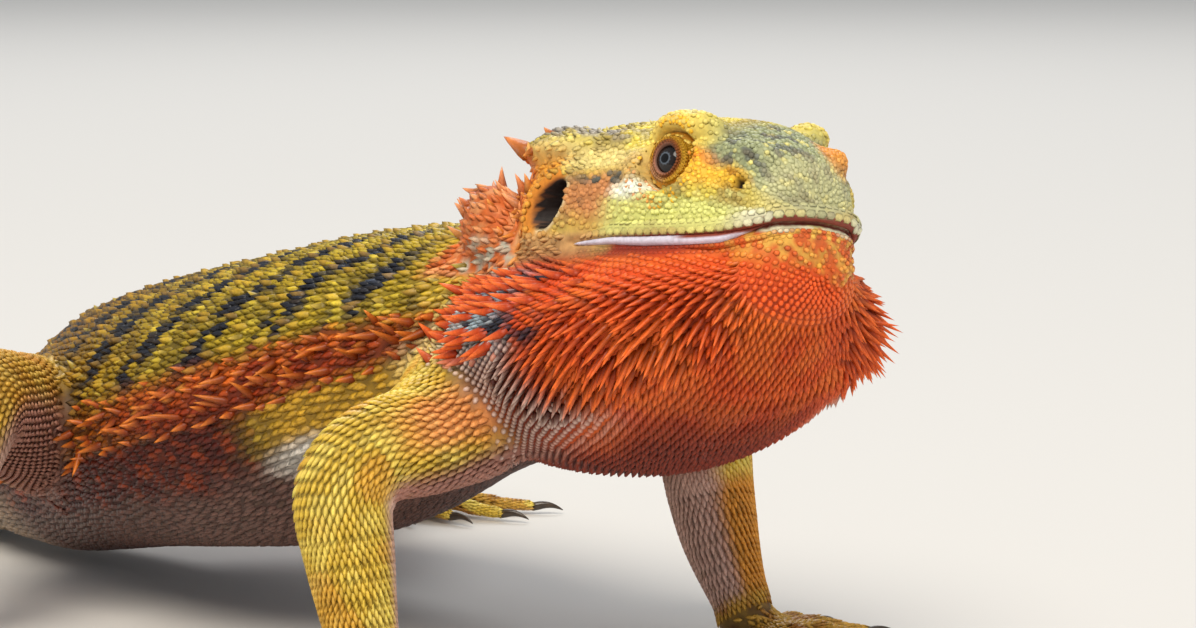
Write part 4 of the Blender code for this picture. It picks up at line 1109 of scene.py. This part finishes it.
def wingCoat(s):
    # scales on rings round the flared corner of the jaw. Its upper and rear edge has horns
    parts = []
    for side in (1, -1):
        middle, axis = np.array(s["middle"]) * [1, side, 1], unit(np.array(s["axis"]) * [1, side, 1])
        e1 = unit(np.cross(axis, [0, 0, 1.0]))
        e2 = np.cross(axis, e1)
        for ring in range(1, s["rings"] + 1):
            theta = math.radians(s["between"] * ring)
            n = max(3, round(2 * math.pi * math.sin(theta) / math.radians(s["along"])))
            a = (np.arange(n) + 0.5 * (ring % 2)) * 2 * math.pi / n
            outwards = np.cos(a)[:, None] * e1 + np.sin(a)[:, None] * e2
            ray = math.cos(theta) * axis + math.sin(theta) * outwards
            at, normal, found = onSkin(fromHead(middle + ray * 26), -ray @ headTurn.T, 25)
            found &= (wingPlace(at) > 0.5) & apart(at, 0.8)
            uv = np.stack([0.25 + 0.5 * (side > 0) + 0.017 * ring * np.cos(a),
                           0.5 + 0.035 * ring * np.sin(a)], axis=1)
            parts.append([w[found] for w in (at, normal, (ray + [-0.5, 0, 0.35]) @ headTurn.T, uv)])
    at, normal, lie, uv = gathered(parts)
    placed.append(at)
    n = normal @ headTurn
    edge = step(0.25, 0.6, n[:, 2] * 0.9 - n[:, 0] * 0.65) * step(-16, -11, toHead(at)[:, 2])
    horn = edge * (rng.random(len(at)) < s["horns"][0])
    colour = varied(markings(at), 0.1)
    # tips 1.3 times as bright as a painted highlight, the horns' tips blended to their own pale orange
    tips = painted(lighter(colour, 1.3), 0.2 + 0.5 * horn, "#F6B078")
    length = 1.4 + s["horns"][1] * horn * rng.uniform(0.6, 1.2, len(at)) + 0.4 * edge
    # roots darkened to 0.85 as painted shade between the scales
    for name, shape, pick in (("wing_scales", keel, horn < 0.4), ("wing_spines", spine, horn >= 0.4)):
        scalePiece(name, shape, at, normal, lie, (length, 1.3 + 0.75 * horn, 0.9 + 0.8 * horn), colour * 0.85,
                   tips, uv, 0.2 + 0.55 * horn, pick)


headScales = {"spacing": ((0, 3, 5, 7, 10), (1.25, 1.0, 0.9, 0.8, 0.7)), "keeled": 0.5}


def headCoat(s):
    t = lofts["skull"]
    spacing = lambda u: np.interp(u, *s["spacing"])
    found = settled(t, *rowsOn(t, spacing), ("beard", "trunk"), reach=6, jitter=1.0)
    h = toHalfHead(found[2])
    d = h - eyeAt
    fromEye = np.linalg.norm(d, axis=1)
    q, ahead, far = earPlace(h)
    keep = (q > 1.3 - 0.12 * ahead) | (far > 7)
    keep &= ~((fromEye < 5.6) & (d @ eyeAxis / fromEye > 0.70))
    keep &= (np.linalg.norm(h - nostrilAt, axis=1) > 1.2) & offMouth(found[2], 2.6, 3.0)
    u, angle, at, normal, along, around, fromEye = [v[keep] for v in (*found, fromEye)]
    size = spacing(u) * rng.uniform(0.85, 1.2, len(u)) * (1 - 0.3 * np.exp(-(fromEye / 6.5) ** 4))
    colour = varied(markings(at), 0.1)
    keeled = (u < 3.4) & (rng.random(len(u)) < s["keeled"]) & (fromTop(angle) < 70)
    for name, shape, pick, tall in (("head_beads", bead, ~keeled, 0.75), ("head_keels", keel, keeled, 0.9)):
        scalePiece(name, shape, at, normal, -along, (size * 1.15, size * 1.1, size * tall), colour,
                   lighter(colour, 1.15), sheet(u, angle, t), 0.04, pick)


# Rows of oblong plates along both lips: height above the cleft, length and height of a plate.
lipRows = ((0.75, 1.7, 1.3), (2.05, 1.4, 1.2), (-1.55, 0.9, 0.7), (-2.3, 0.95, 0.9))


def lipPlates():
    # each row an even distance apart along the lip
    rows, count = [], 700
    for drop, long, tall in lipRows:
        at, out, a = mouthPath(count, 129)
        at, normal, found = onSkin(fromHead(toHead(at) + [0, 0, drop] + (out @ headTurn) * 8), -out, 16)
        travel = np.concatenate([[0], np.cumsum(np.linalg.norm(np.diff(at, axis=0), axis=1))])
        pick = np.searchsorted(travel, np.arange(0.6, travel[-1] - 0.6, long * 0.92))
        along = unit(np.gradient(at, axis=0)) * np.sign(a)[:, None]
        rows.append((at[pick], normal[pick], along[pick], np.full(len(pick), long), np.full(len(pick), tall),
                     np.stack([0.02 + 0.95 * pick / count, np.full(len(pick), 0.5 + drop / 8)], axis=1)))
    at, normal, along, long, tall, uv = gathered(rows)
    colour = varied(markings(at), 0.08)
    scalePiece("lip_plates", bead, at, normal, along, (long, tall, 0.4), colour, lighter(colour, 1.12), uv, 0)


lidGrains = {"rings": 7, "first": 0.10, "between": 0.062, "inner": 30, "more": 4}


def lidBeads(g):
    # rings of small grains over both lids, equal steps apart, each turned by half a grain from the last
    rows = []
    for side in (1, -1):
        centre, *axes = eyeFrame(side)
        for ring in range(g["rings"]):
            n = g["inner"] + g["more"] * ring
            a = (np.arange(n) + 0.5 * (ring % 2)) * 2 * math.pi / n
            ray, lie = lidRays(*axes, g["first"] + g["between"] * ring, a)
            at, normal, found = onSkin(centre + ray * 9, -ray, 7)
            uv = np.stack([0.25 * (side + 1) + 0.02 + 0.45 * a / 6.3, np.full(n, 0.1 + 0.1 * ring)], axis=1)
            rows.append([v[found] for v in (at, normal, lie, np.full(n, float(ring)), uv)])
    at, normal, lie, ring, uv = gathered(rows)
    size = 0.42 + 0.05 * ring
    lower = step(0.2, -0.6, (lie @ headTurn)[:, 2]) * step(0.3, -0.5, (lie @ headTurn)[:, 0])
    colour = layers(plain(at, "#A05A2E"), (step(0.5, 2.0, ring), "#E0962E"),
                    (step(1.0, 3.5, ring) * 0.8, "#F6BE2E"), (lower * 0.8, "#D89A78"))
    colour = varied(colour, 0.1)
    scalePiece("lid_grains", bead, at, normal, lie, (size * 1.1, size * 1.25, size * 0.8), colour,
               lighter(colour, 1.15), uv, 0.0)


trunkScales = {"spacing": ((0, 3, 6, 8, 10), (1.4, 1.5, 1.45, 1.3, 1.2)), "large": 0.07, "belly": 78}


def trunkCoat(s):
    t = lofts["trunk"]
    spacing = lambda u: np.interp(u, *s["spacing"])
    u, angle, at, normal, along, around = settled(
        t, *rowsOn(t, spacing), (*limbNames, "skull", "beard", "tail"), jitter=0.8)
    top = fromTop(angle)
    colour = varied(markings(at), 0.12)
    rough = step(100, 80, top)
    large = (rng.random(len(u)) < s["large"]) * rough
    size = spacing(u) * (0.9 + 0.2 * rng.random(len(u)) + 0.3 * large)
    height = size * (0.5 + 0.2 * rough + 0.2 * large)
    tips = painted(lighter(colour, 1.2), large * 0.5, "#D9A83E")
    for name, pick in (("back_scales", top < s["belly"]), ("belly_scales", top >= s["belly"])):
        scalePiece(name, keel, at, normal, -along, (size * 1.05, size * 1.1, height), colour, tips,
                   sheet(u, angle, t), 0.03 + 0.06 * rough + 0.08 * large, pick)


tailScales = {"spacing": ((0, 6, 13), (1.6, 1.45, 1.1))}


def tailCoat(s):
    t = lofts["tail"]
    spacing = lambda u: np.interp(u, *s["spacing"])
    u, angle, at, normal, along, around = settled(
        t, *rowsOn(t, spacing, samples=260), ("trunk", "legRight", "legLeft"))
    colour = varied(markings(at), 0.1)
    size, keelUp = spacing(u), step(120, 90, fromTop(angle))
    scalePiece("tail_scales", keel, at, normal, along, (size * 1.2, size * 1.05, size * (0.6 + 0.5 * keelUp)),
               colour, lighter(colour, 1.2), sheet(u, angle, t), 0.06 + 0.1 * keelUp)


limbScales = {"spacing": ((0, 3, 5, 7), (1.45, 1.3, 1.15, 1.0))}


def limbCoat(s):
    spacing = lambda u: np.interp(u, *s["spacing"])
    for name in limbNames:
        t, others = lofts[name], ("trunk", "beard", "tail") if name.startswith("leg") else ("trunk", "beard")
        u, angle, at, normal, along, around = settled(t, *rowsOn(t, spacing), others)
        colour = varied(markings(at), 0.07)
        size = spacing(u)
        scalePiece(name + "_scales", keel, at, normal, along, (size * 1.15, size * 1.08, size * 0.95), colour,
                   lighter(colour, 1.18), sheet(u, angle, t), 0.08)


footScales = {"digits": 0.95, "palm": 0.9, "size": (1.1, 1.0, 0.75)}


def footCoat(s):
    parts, spacing = [], lambda u: np.full(len(u), s["digits"])
    for k, d in enumerate(digits):
        u, angle, at, normal, along, around = settled(
            d, *rowsOn(d, spacing, 0.4, d["u"][-1] - 0.05, samples=60, sides=36), [])
        parts.append((at, normal, along, sheet(u, angle, d, ((k % 5) / 5, k // 5 / 5), (0.2, 0.2))))
    for k, (name, (limb, heading, palm, outer, ownDigits)) in enumerate(feet.items()):
        # the back of the palm: a level grid of roots dropped on it
        ahead, gap = level(math.radians(heading)), s["palm"]
        side = np.array([-ahead[1], ahead[0], 0])
        x, y = np.meshgrid(np.arange(-0.55, 1.2, gap / palm) * palm, np.arange(-8.1, 8.2, gap), indexing="ij")
        y = y + gap / 2 * (np.arange(len(x)) % 2)[:, None]
        p = lofts[limb]["centre"][-1] * [1, 1, 0] + x.reshape(-1, 1) * ahead + y.reshape(-1, 1) * side
        p = p + [0, 0, 16]
        at, normal, found = onSkin(p, np.tile([0, 0, -1.0], (len(p), 1)), 15)
        low = found & (at[:, 2] < 6.3) & (at[:, 2] > 1.0) & (normal[:, 2] > 0.25)
        for d in digits:
            if d["foot"] == name:
                u, angle, outside = chart(d, at)
                low &= ~((outside < 0.35) & (u > 0.5))
        uv = np.stack([0.01 + (x.ravel() / palm + 0.6) / 9 + k * 0.24, 0.82 + (y.ravel() + 8.2) / 100], 1)
        parts.append((at[low], normal[low], np.tile(ahead, (low.sum(), 1)), uv[low]))
    at, normal, along, uv = gathered(parts)
    colour = varied(markings(at), 0.08)
    scalePiece("foot_scales", keel, at, normal, along, s["size"], colour, lighter(colour, 1.15), uv, 0.06)


# Angles from the top and lengths of the fringes' horns, and on the flank where each starts along the trunk.
fringeRows = {"flank": ((82, 2.8, 1.4), (87, 4.2, 1.25), (92, 4.6, 1.35), (97, 3.0, 1.5)),
              "tail": ((86, 3.4), (96, 2.8)), "earFold": (62, 71, 80, 89), "back": (22, 46, 66)}
fringeColours = {"flank": ("#8E340A", "#E4842E"), "tail": ("#A8501E", "#D98A3C"),
                 "temple": ("#C9702C", "#F0904A"), "templeRow": ("#C9702C", "#EE9A55"),
                 "earFold": ("#C86A20", "#EFA24A"), "crown": ("#B4A24A", "#E0D080"),
                 "back": ("#9A8430", "#CDB04C")}


def spineRows():
    # fringes of horns on the flanks, at the temples, down the nape and the tail's root
    rows = []

    def fringe(name, loft, u, top, long, wide, lift, back, rise, others=(), stray=0.25):
        # horns at u and top on both sides: lie = back * along + rise * up + a little stray
        for side in (1, -1):
            u1, angle, at, normal, along, around = settled(
                lofts[loft], u, np.radians(90 - side * top), others, reach=6, gap=0)
            n = len(u1)
            lie = along * back + np.array([0, 0, rise]) + stray * rng.normal(size=(n, 3))
            root, point = (linear(colour) * np.ones((n, 1)) for colour in fringeColours[name])
            rows.append((at - normal * 0.3, normal, lie, long * rng.uniform(0.55, 1.25, n),
                         wide * rng.uniform(0.85, 1.2, n), lift * rng.uniform(0.7, 1.3, n), root, point,
                         sheet(u1, angle, lofts[loft])))

    def scattered(u, amount):
        return u + rng.normal(size=len(u)) * amount

    for top, long, start in fringeRows["flank"]:
        u = np.arange(start, 7.6, 0.16)
        fringe("flank", "trunk", scattered(u, 0.04), scattered(0 * u, 1.6) + top, long, 1.55, 0.8, -1, 0.35,
               limbNames, 0.45)
    for top, long in fringeRows["tail"]:
        u = np.arange(0.3, 5, 0.16)
        fringe("tail", "tail", u, scattered(0 * u, 2) + top, long, 1.3, 0.5, 1, 0.2, ("legLeft", "legRight"))
    fringe("temple", "skull", np.array([1.78]), np.array([56.0]), 4.8, 2.8, 0.75, -1, 0.66, stray=0.0)
    fringe("templeRow", "skull", np.array([2.1, 1.6, 1.45]), np.array([49.0, 63, 70]), 2.8, 1.8, 0.6, -1, 0.3)
    for top in fringeRows["earFold"]:
        u = np.arange(1.45, 2.1, 0.2)
        fringe("earFold", "skull", u, top + 3 * np.sin(u * 9), 1.9, 1.3, 0.5, -1, 0.1)
    u = np.arange(2.0, 4.4, 0.25)
    fringe("crown", "skull", u, 30 + 6 * np.sin(u * 3), 1.8, 1.2, 0.7, -1, 0.3)
    for top in fringeRows["back"]:
        u = np.arange(1.5, 8.2, 0.36)
        fringe("back", "trunk", scattered(u, 0.06), scattered(0 * u, 5) + top, 2.0, 1.5, 0.4, -1, 0.1,
               limbNames)
    at, normal, lie, long, wide, lift, root, point, uv = gathered(rows)
    scalePiece("spines", spine, at, normal, lie, (long, wide, wide), varied(root, 0.12), varied(point, 0.1),
               uv, lift)


# Colours outwards from the eye's axis, and the angles in degrees at which each gives way to the next.
# the edge's near black is the eyeball's own dark rim together with painted shade where the lids overhang it
eyeColours = {"pupil": "#030304", "ring": "#5C6672", "iris": "#1E1715", "edge": "#080606"}
eyeRings = {"ring": (8.6, 9.6), "iris": (10.6, 12.6), "edge": (18, 22)}


def makeEyes(c, rings, rows=90, columns=96):
    # a ball with a low cornea: r = eyeRadius - 0.05 + 0.22 exp(-(angle / 24)^2), coloured by the same angle
    for side, name in ((1, "eye_left"), (-1, "eye_right")):
        at, axis, forward, up = eyeFrame(side)
        theta, a = np.meshgrid(np.linspace(0, 180, rows), roundAngles(columns), indexing="ij")
        r = (skinSettings["eyeRadius"] - 0.05 + 0.22 * np.exp(-(theta / 24) ** 2))[..., None]
        t, lie = np.radians(theta)[..., None], np.cos(a)[..., None] * forward + np.sin(a)[..., None] * up
        p = at + r * (np.cos(t) * axis + np.sin(t) * lie)
        faces = gridFaces(rows, columns)
        obj = addObject(name + "_ball", makeMesh(name + "_ball", p.reshape(-1, 3),
                                                 faces if side < 0 else faces[:, ::-1]))
        th, streak = theta.ravel(), np.sin(a.ravel() * 23) * np.sin(a.ravel() * 11 + 1) * 0.5
        # the outer ring near black: its own dark rim and painted shade under the lids
        paintMesh(obj.data, layers(plain(th, c["pupil"]), (step(*rings["ring"], th), c["ring"]),
                                   (step(*rings["iris"], th + streak * 2), c["iris"]),
                                   (step(*rings["edge"], th + streak), c["edge"])))
        obj.data.shade_smooth()
        # a wet clear cornea: small sharp highlights over a dark iris
        material, tree, shader = addMaterial("wet eye under a clear cornea", {
            "Roughness": 0.08, "IOR": 1.376, "Coat Weight": 0.15, "Coat Roughness": 0.05})
        paint = addNode(tree, "ShaderNodeAttribute", attribute_name="markings")
        tree.links.new(paint.outputs["Color"], shader.inputs["Base Color"])
        obj.data.materials.append(material)
        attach(obj, "root")
        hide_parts(name)


clawShape = {"length": 4.5, "radius": 0.75, "tip": 0.10, "height": 1.75, "drop": 0.9, "inside": -0.3}
clawColours = ("#1C1512", "#54422F")


def makeClaws(s, rows=10, columns=10):
    # curved cones from inside the digits' tips: radius (1 - t)^0.8 + tip, height + 0.25 sin(3 t) - drop t^2
    grids = []
    for d in digits:
        t, b = np.linspace(s["inside"], 1, rows)[:, None], roundAngles(columns)
        r = s["radius"] * (1 - np.clip(t, 0, 1)) ** 0.8 + s["tip"]
        rise = s["height"] + 0.25 * np.sin(3 * t) - s["drop"] * t ** 2
        centre = d["tip"] * [1, 1, 0] + d["out"] * (0.2 + s["length"] * t) + np.array([0, 0, 1]) * rise
        side = np.array([-d["out"][1], d["out"][0], 0])
        grids.append(closedTube(centre[:, None] + (r * np.cos(b))[..., None] * side * 0.8
                                + (r * np.sin(b))[..., None] * np.array([0, 0, 1.0])))
    obj = addObject("claws", makeMesh("claws", *joinGrids(grids)))
    obj.data.shade_smooth()
    # grown horn: smooth and dark with a soft gleam, streaked paler every millimetre or so
    material, tree, shader = addMaterial("dark horn, worn paler at the ends", {"Roughness": 0.3, "IOR": 1.54})
    place = addNode(tree, "ShaderNodeTexCoord")
    streak = addNode(tree, "ShaderNodeTexNoise", {"Scale": 1 / (0.9 * mm), "Detail": 2.0},
                     {"Vector": place.outputs["Object"]})
    ramp = addNode(tree, "ShaderNodeValToRGB", links={"Fac": streak.outputs["Fac"]})
    for element, colour in zip(ramp.color_ramp.elements, clawColours):
        element.color = (*linear(colour), 1)
    tree.links.new(ramp.outputs["Color"], shader.inputs["Base Color"])
    obj.data.materials.append(material)
    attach(obj, "root")
    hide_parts(*[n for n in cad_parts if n.startswith("claw")])


wingCoat(wingScales)
beardCoat(beardScales)
headCoat(headScales)
lipPlates()
lidBeads(lidGrains)
spineRows()
makeEyes(eyeColours, eyeRings)
makeClaws(clawShape)
trunkCoat(trunkScales)
tailCoat(tailScales)
limbCoat(limbScales)
footCoat(footScales)
print("scales are laid")
